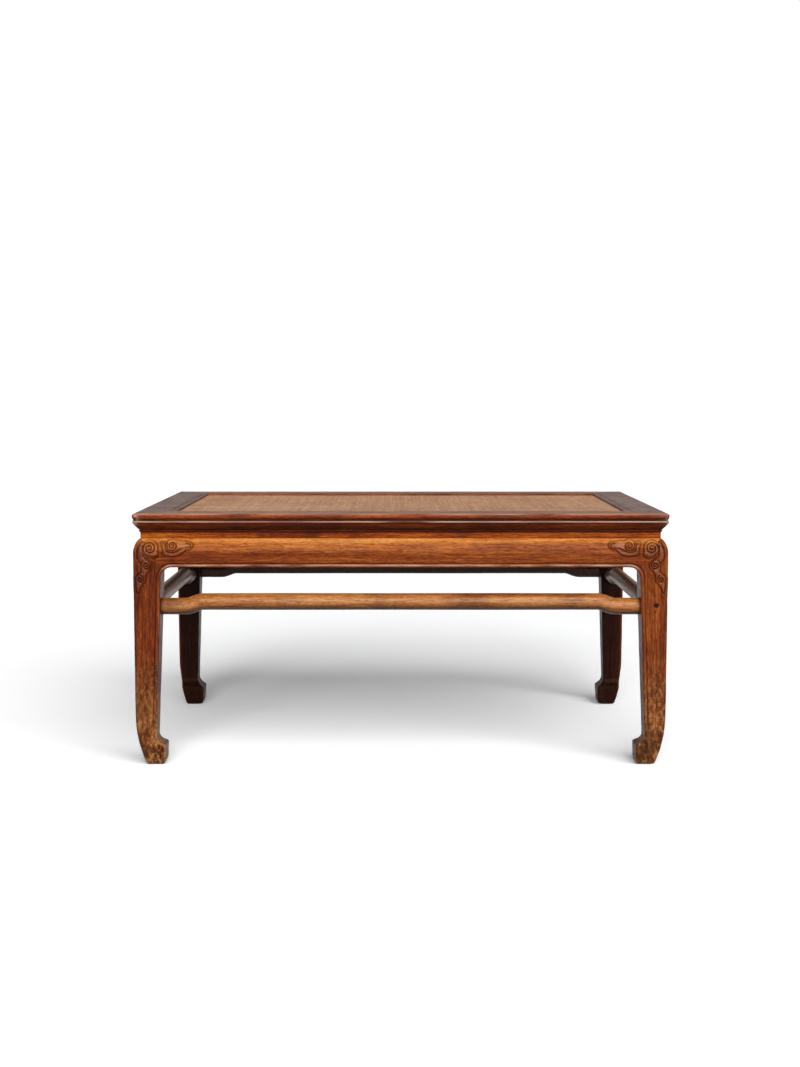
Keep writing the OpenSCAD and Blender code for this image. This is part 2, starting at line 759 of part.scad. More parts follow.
module apron_back() { mirror([0, 1, 0]) apron_front(); }
module apron_left() { to_left() apron(top_d, top_w, dowels_short); }
module apron_right() { mirror([1, 0, 0]) apron_left(); }
module apron_dowels() {
    color(peg_colour) for (turn = [0, 180]) rotate([0, 0, turn]) {
        side_dowels(top_d, dowels_long);
        to_left() side_dowels(top_w, dowels_short);
    }
}
module leg_front_left() { leg(false, false); }
module leg_front_right() { leg(true, false); }
module leg_back_left() { leg(false, true); }
module leg_back_right() { leg(true, true); }
module stretcher_front() { cross_stretcher(true); }
module stretcher_back() { mirror([0, 1, 0]) cross_stretcher(false); }
module stretcher_left() { to_left() side_stretcher(); }
module stretcher_right() { mirror([1, 0, 0]) stretcher_left(); }
module stretcher_peg() { color(peg_colour) at_corner(true, false) joint_peg(); }

frame_rail_front();
frame_rail_back();
frame_rail_left();
frame_rail_right();
frame_corner_pegs();
seat_brace_left();
seat_brace_right();
palm_net();
cane_mat();
seat_strip_front();
seat_strip_back();
seat_strip_left();
seat_strip_right();
seat_strip_pins();
lacing_pegs();
waist_front();
waist_back();
waist_left();
waist_right();
apron_front();
apron_back();
apron_left();
apron_right();
apron_dowels();
leg_front_left();
leg_front_right();
leg_back_left();
leg_back_right();
stretcher_front();
stretcher_back();
stretcher_left();
stretcher_right();
stretcher_peg();
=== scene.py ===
import math

import bmesh
import bpy
import numpy as np
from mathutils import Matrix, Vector


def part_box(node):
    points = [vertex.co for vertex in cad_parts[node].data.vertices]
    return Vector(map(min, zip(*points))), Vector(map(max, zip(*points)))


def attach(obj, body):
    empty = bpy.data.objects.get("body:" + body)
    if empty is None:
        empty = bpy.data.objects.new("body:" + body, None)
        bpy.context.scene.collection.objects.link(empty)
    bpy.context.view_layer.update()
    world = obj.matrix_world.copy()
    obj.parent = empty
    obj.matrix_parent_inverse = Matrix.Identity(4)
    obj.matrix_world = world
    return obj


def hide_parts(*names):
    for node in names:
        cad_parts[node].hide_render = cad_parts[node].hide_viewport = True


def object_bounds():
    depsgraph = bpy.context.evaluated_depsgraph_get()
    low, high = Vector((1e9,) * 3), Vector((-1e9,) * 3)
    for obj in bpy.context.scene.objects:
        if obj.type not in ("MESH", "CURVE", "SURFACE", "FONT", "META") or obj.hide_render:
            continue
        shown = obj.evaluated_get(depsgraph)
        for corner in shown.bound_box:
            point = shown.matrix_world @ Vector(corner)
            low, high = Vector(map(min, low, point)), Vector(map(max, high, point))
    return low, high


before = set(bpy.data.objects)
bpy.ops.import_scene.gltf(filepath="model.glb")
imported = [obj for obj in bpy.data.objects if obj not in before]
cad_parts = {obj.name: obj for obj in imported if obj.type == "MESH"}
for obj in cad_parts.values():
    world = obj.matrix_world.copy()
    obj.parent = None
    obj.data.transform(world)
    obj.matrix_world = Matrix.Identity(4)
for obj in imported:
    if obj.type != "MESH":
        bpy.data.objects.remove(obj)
cad_low, cad_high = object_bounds()

# All lengths below are millimetres, and MM turns them into Blender's metres.
MM = 0.001


def node_box(name):
    """A node's lowest and highest corners, in millimetres."""
    low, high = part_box(name)
    return np.array(low) / MM, np.array(high) / MM


TOP_W, TOP_D, TOP_Z = [float(v) for v in (np.array(cad_high) - np.array(cad_low)) / MM]


# Node graphs

class Graph:
    """A small helper that adds nodes to one node tree."""

    def __init__(self, tree):
        self.tree = tree

    def feed(self, socket, value):
        if isinstance(value, bpy.types.NodeSocket):
            self.tree.links.new(value, socket)
        else:
            socket.default_value = value

    def node(self, kind, inputs=None, **settings):
        """A new node with its settings, and a value or a link on each named input."""
        made = self.tree.nodes.new("ShaderNode" + kind)
        for key, value in settings.items():
            setattr(made, key, value)
        for key, value in (inputs or {}).items():
            self.feed(made.inputs[key], value)
        return made

    def math(self, operation, a, b=0.5, clamp=False):
        return self.node("Math", {0: a, 1: b}, operation=operation, use_clamp=clamp).outputs[0]

    def add(self, a, b):
        return self.math("ADD", a, b)

    def times(self, a, b, clamp=False):
        return self.math("MULTIPLY", a, b, clamp)

    def blend(self, kind, amount, a, b):
        made = self.node("Mix", {"Factor": amount, "A": a, "B": b}, data_type="RGBA", blend_type=kind)
        return made.outputs["Result"]


class Shader(Graph):
    """A node material on a Principled surface, placed by object coordinates."""

    def __init__(self, name):
        self.material = bpy.data.materials.new(name)
        self.material.use_nodes = True
        super().__init__(self.material.node_tree)
        self.surface = self.tree.nodes["Principled BSDF"]
        self.place = self.node("TexCoord").outputs["Object"]

    def noise(self, vector, scale, shift=(0, 0, 0), detail=3.0, rough=0.55, distortion=0.0):
        """Noise with its own scale along each axis; shift moves it."""
        mapped = self.node("Mapping", {"Vector": vector, "Scale": scale, "Location": shift}).outputs[0]
        made = self.node("TexNoise", {"Vector": mapped, "Scale": 1.0, "Detail": detail, "Roughness": rough,
                                      "Distortion": distortion})
        return made.outputs["Fac"]

    def ramp(self, value, stops):
        made = self.node("ValToRGB", {0: value})
        elements = made.color_ramp.elements
        while len(elements) < len(stops):
            elements.new(0.5)
        for element, (at, colour) in zip(elements, stops):
            element.position = at
            element.color = colour
        return made.outputs[0]

    def range(self, value, low, high, to_low=0.0, to_high=1.0):
        made = self.node("MapRange", {"Value": value, "From Min": low, "From Max": high, "To Min": to_low,
                                      "To Max": to_high})
        return made.outputs["Result"]

    def split(self, vector):
        return self.node("SeparateXYZ", {0: vector}).outputs

    def attribute(self, name):
        return self.node("Attribute", attribute_name=name).outputs["Fac"]

    def bump(self, height, strength, distance):
        return self.node("Bump", {"Height": height, "Strength": strength, "Distance": distance}).outputs[0]


# The camera and the studio

IMAGE_W, SENSOR_W = 800, 36.0
FOCAL_PX = 1513.8
CAMERA_X, CAMERA_BACK, CAMERA_Z = -1.2, 2900.5, 733.7
CAMERA_DOWN = 5.431
CLIP_END = 60.0
FLOOR_REACH, FLOOR_DROP, FLOOR_GLOW = 30.0, 0.0005, 0.05
FLOOR_SEEN, FLOOR_BOUNCE = (1.15, 1.15, 1.155, 1), (0.16, 0.15, 0.14, 1)
AIR, MIRRORED_AIR = 0.14, 0.75
AIR_COLOUR = (0.95, 0.97, 1.0, 1)
SEEN = ("Is Camera Ray", "Is Glossy Ray", "Is Transmission Ray")


def add_object(name, data):
    made = bpy.data.objects.new(name, data)
    bpy.context.collection.objects.link(made)
    return made


def add_camera():
    data = bpy.data.cameras.new("camera")
    data.sensor_fit = "HORIZONTAL"
    data.sensor_width = SENSOR_W
    data.lens = FOCAL_PX / IMAGE_W * SENSOR_W
    data.clip_end = CLIP_END
    camera = add_object("camera", data)
    camera.location = Vector((CAMERA_X, -TOP_D / 2 - CAMERA_BACK, CAMERA_Z)) * MM
    camera.rotation_euler = (math.radians(90 - CAMERA_DOWN), 0.0, 0.0)
    bpy.context.scene.camera = camera


def add_sun(name, azimuth, elevation, wide, strength, mirrored=True):
    """A very large soft box far away: azimuth from the front to the right, all angles in degrees."""
    data = bpy.data.lights.new(name, "SUN")
    data.energy = strength
    data.angle = math.radians(wide)
    light = add_object(name, data)
    across, up = math.radians(azimuth), math.radians(elevation)
    towards = Vector((math.sin(across) * math.cos(up), -math.cos(across) * math.cos(up), math.sin(up)))
    light.rotation_euler = towards.to_track_quat("Z", "Y").to_euler()
    light.visible_glossy = mirrored


def seen_rays(graph, kinds):
    """1 for rays of the named kinds and 0 for all others."""
    path = graph.node("LightPath")
    total = path.outputs[kinds[0]]
    for kind in kinds[1:]:
        total = graph.math("MAXIMUM", total, path.outputs[kind])
    return total


def add_floor():
    far = FLOOR_REACH
    mesh = bpy.data.meshes.new("floor")
    mesh.from_pydata([(-far, -far, 0), (far, -far, 0), (far, far, 0), (-far, far, 0)], [], [(0, 1, 2, 3)])
    floor = add_object("floor", mesh)
    floor.location.z = -FLOOR_DROP
    material = bpy.data.materials.new("floor")
    material.use_nodes = True
    graph = Graph(material.node_tree)
    graph.tree.nodes.clear()
    seen = seen_rays(graph, SEEN)
    plain = graph.node("BsdfDiffuse", {"Color": graph.blend("MIX", seen, FLOOR_BOUNCE, FLOOR_SEEN)})
    glow = graph.node("Emission", {"Strength": graph.times(seen, FLOOR_GLOW)})
    both = graph.node("AddShader", {0: plain.outputs[0], 1: glow.outputs[0]})
    graph.node("OutputMaterial", {"Surface": both.outputs[0]})
    mesh.materials.append(material)


def add_world():
    world = bpy.data.worlds.new("studio")
    bpy.context.scene.world = world
    world.use_nodes = True
    graph = Graph(world.node_tree)
    graph.tree.nodes.clear()
    air = graph.node("Background", {"Color": AIR_COLOUR, "Strength": AIR})
    mirrored = graph.node("Background", {"Strength": MIRRORED_AIR})
    white = graph.node("Background", {"Color": (1, 1, 1, 1)})
    around = graph.node("MixShader", {0: seen_rays(graph, SEEN[1:]), 1: air.outputs[0], 2: mirrored.outputs[0]})
    both = graph.node("MixShader", {0: seen_rays(graph, SEEN[:1]), 1: around.outputs[0], 2: white.outputs[0]})
    graph.node("OutputWorld", {"Surface": both.outputs[0]})


add_camera()
add_world()
add_floor()
add_sun("key", azimuth=20, elevation=30, wide=58, strength=3.6)
add_sun("low_fill", azimuth=-4, elevation=16, wide=34, strength=2.1, mirrored=False)
bpy.context.scene.view_settings.view_transform = "Standard"


# Materials

def linear(r, g, b):
    """An sRGB colour from 0 to 255, as the linear colour that the shaders take."""
    out = []
    for v in (r, g, b):
        v /= 255
        out.append(v / 12.92 if v <= 0.04045 else ((v + 0.055) / 1.055) ** 2.4)
    return (*out, 1.0)


GRAIN_TURN = {"x": (0, 1, 2), "y": (1, 0, 2), "z": (2, 1, 0)}


def along_grain(shader, axis):
    """Object coordinates with the grain's direction first."""
    split = shader.split(shader.place)
    turned = {slot: split[source] for slot, source in enumerate(GRAIN_TURN[axis])}
    return shader.node("CombineXYZ", turned).outputs[0]


# Where the grain's noise turns to the dark, middle and light tone
TONE_STOPS = (0.40, 0.505, 0.61)
# Pores, and the colour of grooves, joints and recesses: partly patina and dark joints, partly painted shade
PORE_COLOUR, GROOVE_PATINA_AND_SHADE = linear(44, 18, 8), linear(26, 9, 4)
SCUFF_COLOUR, DIRT_COLOUR = linear(218, 166, 124), linear(62, 30, 18)
FOOT_TOP, FOOT_WORN = 0.23, 0.04


def worn_foot(s, colour, height, shift, worn):
    """Blends pale scuffs and dark dirt into the wood near the floor."""
    foot = s.times(s.range(height, FOOT_TOP, FOOT_WORN), worn)
    scuffs = s.noise(s.place, (150, 150, 75), shift, detail=5.0, rough=0.75)
    broad = s.noise(s.place, (30, 30, 16), shift, detail=3.0, rough=0.6)
    pale = s.times(s.range(scuffs, 0.495, 0.56), foot, clamp=True)
    colour = s.blend("MIX", s.times(pale, 0.8), colour, SCUFF_COLOUR)
    deep = s.times(s.range(broad, 0.50, 0.42), foot, clamp=True)
    return s.blend("MIX", s.times(deep, 0.7), colour, DIRT_COLOUR)


def wood(name, axis, tones, shift, gloss=0.42, worn=0.0, zones=(), shade=1.0, sheen=0.09, patchy=1.0):
    """Polished hardwood whose grain runs along axis; shift picks another stretch of the tree, and
    each zone blends in other tones between two heights."""
    s = Shader(name)
    grain = along_grain(s, axis)
    warp = s.noise(grain, (2.2, 11, 11), shift, detail=2.0)
    wavy = s.blend("LINEAR_LIGHT", 0.012, grain, warp)
    figure = s.noise(wavy, (1.7, 34, 34), shift, detail=3.0, rough=0.6, distortion=0.7)
    streaks = s.noise(wavy, (8, 250, 250), shift, detail=4.0, rough=0.6)
    dashes = s.noise(grain, (46, 560, 560), shift, detail=3.0, rough=0.65)
    fibres = s.noise(grain, (130, 1800, 1800), shift, detail=2.0)
    pores = s.noise(grain, (70, 1150, 1150), shift, detail=1.0)
    tone = s.add(s.times(figure, 0.36), s.times(streaks, 0.30))
    tone = s.add(tone, s.times(dashes, 0.34))
    colour = s.ramp(tone, list(zip(TONE_STOPS, tones)))
    height = s.split(s.place)["Z"]
    for low, high, zone_tones in zones:
        other = s.ramp(tone, list(zip(TONE_STOPS, zone_tones)))
        colour = s.blend("MIX", s.range(height, low, high), colour, other)
    blotches = s.noise(s.place, (9, 9, 9), shift, detail=4.0, rough=0.6)
    colour = s.blend("MULTIPLY", s.range(blotches, 0.50, 0.66, 0.0, patchy), colour, (0.50, 0.42, 0.38, 1))
    fibre_tone = s.ramp(fibres, [(0.34, (0.50, 0.44, 0.40, 1)), (0.60, (1, 1, 1, 1))])
    colour = s.blend("MULTIPLY", 0.7, colour, fibre_tone)
    pore_mask = s.range(pores, 0.58, 0.68)
    colour = s.blend("MIX", s.times(pore_mask, 0.75), colour, PORE_COLOUR)
    if worn:
        colour = worn_foot(s, colour, height, shift, worn)
    groove, ridge = s.attribute("groove"), s.attribute("ridge")
    # Grooves, joints and recesses darken, partly as patina and dark joints and partly as painted shade
    colour = s.blend("MIX", s.times(groove, 0.93, clamp=True), colour, GROOVE_PATINA_AND_SHADE)
    wood_tone = (*(shade * v for v in WOOD_TONE), 1.0)
    colour = s.blend("MULTIPLY", 1.0, colour, wood_tone)
    # Rubbed edges lighten, partly as real wear and partly as painted highlight
    colour = s.blend("MIX", s.range(ridge, 0.45, 1.0, 0.0, 0.66), colour, RUBBED_AND_HIGHLIGHT)
    # Painted shade: the inside attribute darkens faces that little light reaches
    colour = s.blend("MULTIPLY", s.attribute("inside"), colour, UNLIT)
    s.feed(s.surface.inputs["Base Color"], colour)
    smears = s.noise(s.place, (22, 22, 22), shift, detail=5.0, rough=0.65)
    rough = s.range(smears, 0.32, 0.68, gloss - 0.05, gloss + 0.08)
    rough = s.add(rough, s.times(pore_mask, 0.15))
    rough = s.add(rough, s.times(groove, 0.25))
    rough = s.math("SUBTRACT", rough, s.times(ridge, 0.14), clamp=True)
    s.feed(s.surface.inputs["Roughness"], rough)
    shine = s.add(s.times(ridge, 0.50), sheen)
    # The painted shade also dims the shine
    lit = s.range(s.attribute("inside"), 0.0, 1.0, 1.0, 0.65)
    s.feed(s.surface.inputs["Specular IOR Level"], s.times(shine, lit))
    relief = s.add(s.times(fibres, 0.4), s.times(dashes, 1.2))
    relief = s.math("SUBTRACT", relief, s.times(pore_mask, 0.7))
    uneven = s.noise(s.place, (60, 60, 60), shift, detail=3.0)
    relief = s.add(relief, s.times(uneven, 2.2))
    s.feed(s.surface.inputs["Normal"], s.bump(relief, 0.5, 0.0004))
    return s.material


# How much darker the wood is than the tones below, which are as seen in the studio's light
WOOD_TONE = (0.45, 0.38, 0.24)
# The colour of rubbed edges, partly real wear and partly painted highlight, and the painted shade on faces that
# little light reaches
RUBBED_AND_HIGHLIGHT = (0.50, 0.27, 0.16, 1)
UNLIT = (0.14, 0.12, 0.13, 1)

FRAME_TONES = (linear(64, 24, 9), linear(122, 50, 18), linear(172, 90, 42))
BEAD_TONES = (linear(108, 42, 18), linear(162, 72, 34), linear(208, 120, 72))
LONG_TOP_TONES = (linear(130, 78, 54), linear(168, 107, 77), linear(198, 140, 108))
FRONT_TOP_TONES = (linear(158, 92, 60), linear(196, 124, 84), linear(222, 158, 114))
SHORT_TOP_TONES = (linear(106, 50, 29), linear(140, 74, 46), linear(174, 108, 74))
WAIST_TONES = (linear(136, 54, 10), linear(196, 92, 22), linear(238, 142, 52))
APRON_TONES = (linear(92, 34, 9), linear(141, 66, 20), linear(182, 108, 48))
LEG_TONES = (linear(92, 44, 22), linear(152, 88, 52), linear(204, 138, 92))
DEEP_TONES = (linear(78, 28, 10), linear(132, 58, 26), linear(184, 104, 54))
# Painted highlights: lighter tones for the upward-facing tops of the shoulders
SHOULDER_HIGHLIGHT_TONES = (linear(150, 72, 26), linear(200, 118, 52), linear(234, 158, 88))
CREST_HIGHLIGHT_TONES = (linear(212, 130, 66), linear(246, 170, 100), linear(255, 202, 136))
WARM_TONES = (linear(96, 38, 13), linear(152, 72, 28), linear(204, 120, 60))
BAR_TONES = (linear(152, 84, 42), linear(217, 146, 90), linear(246, 192, 138))


# Meshes

def smooth_step(x):
    """0 below 0, 1 above 1, and a smooth rise between."""
    x = np.clip(x, 0.0, 1.0)
    return x * x * (3 - 2 * x)


SHARP_DEG = 35.0
SAME_POINT, NO_LENGTH = 0.00001, 0.000005


def bell(x):
    """1 at 0, falling to almost nothing at 2."""
    return np.exp(-x ** 2)


def add_piece(name, points, faces, material, nodes, values=None):
    """Makes a piece from points in millimetres, with its values for grooves, rubbed edges, painted highlights
    and painted shade, and its place in the assembly.
    """
    mesh = bpy.data.meshes.new(name)
    mesh.from_pydata([tuple(p) for p in np.asarray(points) * MM], [], faces)
    for key, value in (values or {}).items():
        layer = mesh.attributes.new(key, "FLOAT", "POINT")
        layer.data.foreach_set("value", np.asarray(value, dtype=np.float32).ravel())
    mesh.materials.append(material)
    piece = add_object(name, mesh)
    weld(mesh)
    mesh.shade_smooth()
    mesh.set_sharp_from_angle(angle=math.radians(SHARP_DEG))
    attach(piece, "root")
    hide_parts(*nodes)
    return piece


def weld(mesh):
    """Joins points that coincide, turns all faces outward and drops faces without area."""
    work = bmesh.new()
    work.from_mesh(mesh)
    bmesh.ops.remove_doubles(work, verts=work.verts, dist=SAME_POINT)
    bmesh.ops.dissolve_degenerate(work, edges=work.edges, dist=NO_LENGTH)
    bmesh.ops.recalc_face_normals(work, faces=work.faces)
    work.to_mesh(mesh)
    work.free()


def grid_faces(rows, columns, wrap=False, offset=0):
    """Faces of a grid of points, row by row; wrap joins the last column to the first."""
    faces = []
    last = columns if wrap else columns - 1
    for i in range(rows - 1):
        for j in range(last):
            k = (j + 1) % columns
            faces.append((offset + i * columns + j, offset + i * columns + k,
                          offset + (i + 1) * columns + k, offset + (i + 1) * columns + j))
    return faces


def closed_tube(rings):
    """Faces of a stack of closed rings, with a flat cap at each end."""
    count, sides = rings.shape[:2]
    faces = grid_faces(count, sides, wrap=True)
    faces.append(tuple(range(sides))[::-1])
    faces.append(tuple((count - 1) * sides + k for k in range(sides)))
    return faces


def spaced(breaks):
    """Places along a line from (place, step up to the next place) pairs."""
    out = []
    for (start, step), (end, _) in zip(breaks[:-1], breaks[1:]):
        count = max(1, int(round(abs(end - start) / step)))
        out.extend(np.linspace(start, end, count, endpoint=False))
    out.append(breaks[-1][0])
    return np.array(out)


def wander(x, y, z, size, seed):
    """A smooth made-up unevenness from -1 to 1, of about the given size in millimetres."""
    rng = np.random.default_rng(seed)
    total = 0.0
    for _ in range(7):
        direction = rng.normal(size=3)
        direction /= np.linalg.norm(direction)
        rate = 2 * math.pi / size * rng.uniform(0.6, 1.6)
        total = total + np.sin((x * direction[0] + y * direction[1] + z * direction[2]) * rate
                               + rng.uniform(0, 2 * math.pi))
    return total / 4.0


# The outlines that the legs, aprons and frame share, in distances in from the frame's outer
# faces (u along X, v along Y) and height z

RAIL_LOW, RAIL_HIGH = node_box("frame_rail_front")
RAIL_Z = RAIL_LOW[2]
RAIL_W = RAIL_HIGH[1] - RAIL_LOW[1]
WAIST_LOW, WAIST_HIGH = node_box("waist_front")
WAIST_Z = WAIST_LOW[2]
WAIST_IN = TOP_D / 2 + WAIST_LOW[1]
WAIST_T = WAIST_HIGH[1] - WAIST_LOW[1]
APRON_INNER = WAIST_IN + WAIST_T
STRIP_LOW, STRIP_HIGH = node_box("seat_strip_front")
MAT_LOW, MAT_HIGH = node_box("cane_mat")
BEAD_PROUD, BEAD_SUNK = 1.2, 0.8
FACE_IN = TOP_D / 2 + node_box("apron_front")[0][1] + BEAD_PROUD
SHOULDER_H, SHOULDER_POWER = 28.0, 1.7
SHOULDER_IN = WAIST_IN + 1.0
APRON_H = 55.5
APRON_Z = WAIST_Z - APRON_H
SPANDREL_R = 22.0
SPANDREL_Z = APRON_Z - SPANDREL_R
LEG_W = 53.0
LEG_IN = FACE_IN + LEG_W
ANKLE_Z, ANKLE_R, ANKLE_IN = 61.0, 18.0, FACE_IN + 41.0
TOE_IN, TOE_R, TOE_TOP = ANKLE_IN + 15.5, 4.0, ANKLE_Z - ANKLE_R
SOLE_BEVEL, SOLE_R = 6.0, 5.0
HEEL_Z, HEEL_IN, HEEL_POWER = 110.0, 18.0, 2.2
BEAD_W = 7.5
EDGE_R, INNER_R = 3.0, 3.0


def outer_in(z):
    """Distance in of a leg's or apron's outer face: the shoulder's curve, the upright, the heel."""
    z = np.asarray(z, dtype=float)
    t = np.clip((z - (WAIST_Z - SHOULDER_H)) / SHOULDER_H, 0, 1)
    shoulder = (SHOULDER_IN - FACE_IN) * (1 - (1 - t ** SHOULDER_POWER) ** (1 / SHOULDER_POWER))
    heel = HEEL_IN * np.clip(1 - z / HEEL_Z, 0, 1) ** HEEL_POWER
    return FACE_IN + shoulder + heel


def seam_in(z):
    """Distance in of the seam between a leg and an apron."""
    return SHOULDER_IN + (LEG_IN - SHOULDER_IN) * (WAIST_Z - z) / APRON_H


def arch_in(z):
    """Distance in of the spandrel's rounded edge."""
    rise = np.clip((z - SPANDREL_Z) / SPANDREL_R, 0, 1)
    return LEG_IN + SPANDREL_R * (1 - np.sqrt(1 - rise ** 2))


def leg_inner(z):
    """Distance in of a leg's inner faces, from the sole up."""
    z = np.asarray(z, dtype=float)
    taper = ANKLE_IN + (LEG_IN - ANKLE_IN) * np.clip((z - ANKLE_Z) / (SPANDREL_Z - ANKLE_Z), 0, 1)
    ankle = ANKLE_IN + ANKLE_R - np.sqrt(np.clip(ANKLE_R ** 2 - (z - ANKLE_Z) ** 2, 0, None))
    over = np.clip(z - (TOE_TOP - TOE_R), 0, None)
    toe = TOE_IN - TOE_R + np.sqrt(np.clip(TOE_R ** 2 - over ** 2, 0, None))
    sole = TOE_IN - 1 - (SOLE_BEVEL - 1) * np.clip(1 - z / (SOLE_BEVEL * 1.8), 0, 1) ** 1.6
    low = np.minimum(toe, sole + np.clip(z - SOLE_BEVEL * 1.8, 0, None) / 25)
    return np.where(z >= ANKLE_Z, taper, np.where(z > TOE_TOP + 0.6, np.minimum(ankle, TOE_IN - 0.6), low))


def arch_distance(u, z):
    """Distance from the arch below the aprons into the wood, for a face seen square on."""
    corner = np.hypot(u - (LEG_IN + SPANDREL_R), z - SPANDREL_Z) - SPANDREL_R
    beside = leg_inner(z) - u
    above = z - APRON_Z
    return np.where(z < SPANDREL_Z, beside, np.where(u > LEG_IN + SPANDREL_R, above, corner))


# The cloud scrolls on the shoulders, a traditional ornament. Each cloud is a chain of round
# lobes (u, z, radius), and each curl is a groove that winds in to a lobe's centre.

CLOUD_LOBES = [
    [(34, 428.5, 15.5)],
    [(40, 419, 10.0), (34, 422, 12.0)],
    [(20, 437, 4.0), (15.5, 424, 4.5), (15.8, 411, 5.0), (22, 402, 6.0), (27.5, 395.5, 10.5)],
    [(27.5, 395.5, 10.5), (22, 381, 5.0), (16, 368.5, 9.5), (12, 355, 4.5), (10, 343, 1.4)],
    [(77.5, 433.3, 12.6)],
    [(92, 434, 9.0), (101, 433.7, 8.4), (108.5, 433.8, 7.6), (112, 434, 5.5)],
    [(59.5, 437.8, 4.2), (61.0, 433, 3.2), (63, 425, 3.4), (67.5, 418.5, 3.6), (78, 416.5, 3.8),
     (89, 419.5, 4.0), (97, 425.5, 4.5)],
    [(61.5, 418, 3.6), (66, 418, 3.4)],
]
# Centre (u, z), outer and inner radius, turns, starting angle and the way it winds
CLOUD_CURLS = [
    (34.0, 428.5, 14.2, 1.6, 2.1, 250.0, -1),
    (77.5, 433.3, 11.0, 1.5, 1.9, 150.0, 1),
    (27.5, 395.5, 8.6, 1.4, 1.5, 60.0, -1),
    (16.0, 368.5, 7.4, 1.3, 1.4, 75.0, -1),
    (59.5, 437.8, 2.6, 0.8, 0.9, 300.0, 1),
    (61.8, 418, 2.2, 0.7, 0.9, 180.0, 1),
]
# Grooves drawn as open lines of (u, z)
CLOUD_LINES = [
    [(64.8, 438), (64.2, 430), (66.0, 423.5), (71.5, 420.8), (79.0, 420.3), (87.0, 423), (92.5, 427),
     (98.5, 429)],
    [(104.0, 438.6), (109.5, 438), (113.4, 435.5), (113.2, 431.5), (109.0, 429.2), (103.0, 429)],
    [(47.0, 414.5), (40.0, 411.5), (33.5, 412.5), (24.5, 418), (20.5, 426), (20.0, 434)],
    [(21.5, 406), (17.5, 399), (16.6, 390), (18.5, 383)],
]
CLOUD_FAR, CLOUD_BOTTOM = 125.0, 335.0
CLOUD_RISE, CLOUD_EDGE, CLOUD_SINK = 1.5, 1.5, 0.6
CURL_DEPTH, CURL_WIDTH = 2.8, 1.3


def along_segment(u, z, start, end):
    """How far along a segment each (u, z) lies, from 0 to 1, and its distance from there."""
    du, dz = end[0] - start[0], end[1] - start[1]
    t = np.clip(((u - start[0]) * du + (z - start[1]) * dz) / (du * du + dz * dz + 1e-9), 0, 1)
    return t, np.hypot(u - start[0] - t * du, z - start[1] - t * dz)


def curl_points(u, z, outer, inner, turns, start, way, steps=48):
    """Points of a curl's groove, from its outer end in."""
    angle = np.radians(start + way * 360 * turns * np.linspace(0, 1, steps))
    radius = outer + (inner - outer) * np.linspace(0, 1, steps) ** 0.9
    return np.stack([u + radius * np.cos(angle), z + radius * np.sin(angle)], axis=1)


def line_distance(u, z, points):
    """Distance from every (u, z) to a line of points."""
    best = np.full(np.shape(u), 1e9)
    for start, end in zip(points[:-1], points[1:]):
        best = np.minimum(best, along_segment(u, z, start, end)[1])
    return best


def lobe_depth(u, z, lobes):
    """How far each (u, z) lies inside a chain of round lobes, negative outside."""
    best = np.full(np.shape(u), -1e9)
    if len(lobes) == 1:
        lobes = [lobes[0], lobes[0]]
    for start, end in zip(lobes[:-1], lobes[1:]):
        t, away = along_segment(u, z, start, end)
        best = np.maximum(best, start[2] + (end[2] - start[2]) * t - away)
    return best


def carving(u, z):
    """Height of the clouds, and how much of a groove and of a ridge each place is."""
    height = np.zeros(np.shape(u))
    groove = np.zeros(np.shape(u))
    ridge = np.zeros(np.shape(u))
    near = (u < CLOUD_FAR) & (z > CLOUD_BOTTOM)
    if not near.any():
        return height, groove, ridge
    nu, nz = u[near], z[near]
    depth = np.full(nu.shape, -1e9)
    for lobes in CLOUD_LOBES:
        depth = np.maximum(depth, lobe_depth(nu, nz, lobes))
    dome = 1 - (1 - np.clip(depth / 3.2, 0, 1)) ** 2
    outline = bell(depth + 0.7)
    sunk = bell(np.clip(-depth, 0, None) / 3.0) * (depth < 0)
    cut = np.zeros(nu.shape)
    for curl in CLOUD_CURLS:
        away = line_distance(nu, nz, curl_points(*curl))
        width = CURL_WIDTH * min(1.0, 0.5 + curl[2] / 16)
        cut = np.maximum(cut, bell(away / width) * min(1.0, 0.45 + curl[2] / 14))
    for line in CLOUD_LINES:
        away = line_distance(nu, nz, line)
        cut = np.maximum(cut, 0.85 * bell(away / (0.85 * CURL_WIDTH)))
    cut *= smooth_step((depth + 0.5) / 1.5)
    height[near] = CLOUD_RISE * dome - CLOUD_EDGE * outline - CLOUD_SINK * sunk - CURL_DEPTH * cut
    # The carved cuts and outlines darken, partly as patina and partly as painted shade; ridges add only gloss
    # at the crests
    groove[near] = np.clip(0.36 * outline + 0.6 * cut + 0.12 * sunk, 0, 1)
    ridge[near] = (1 - cut) ** 2 * dome * 0.42
    return height, groove, ridge


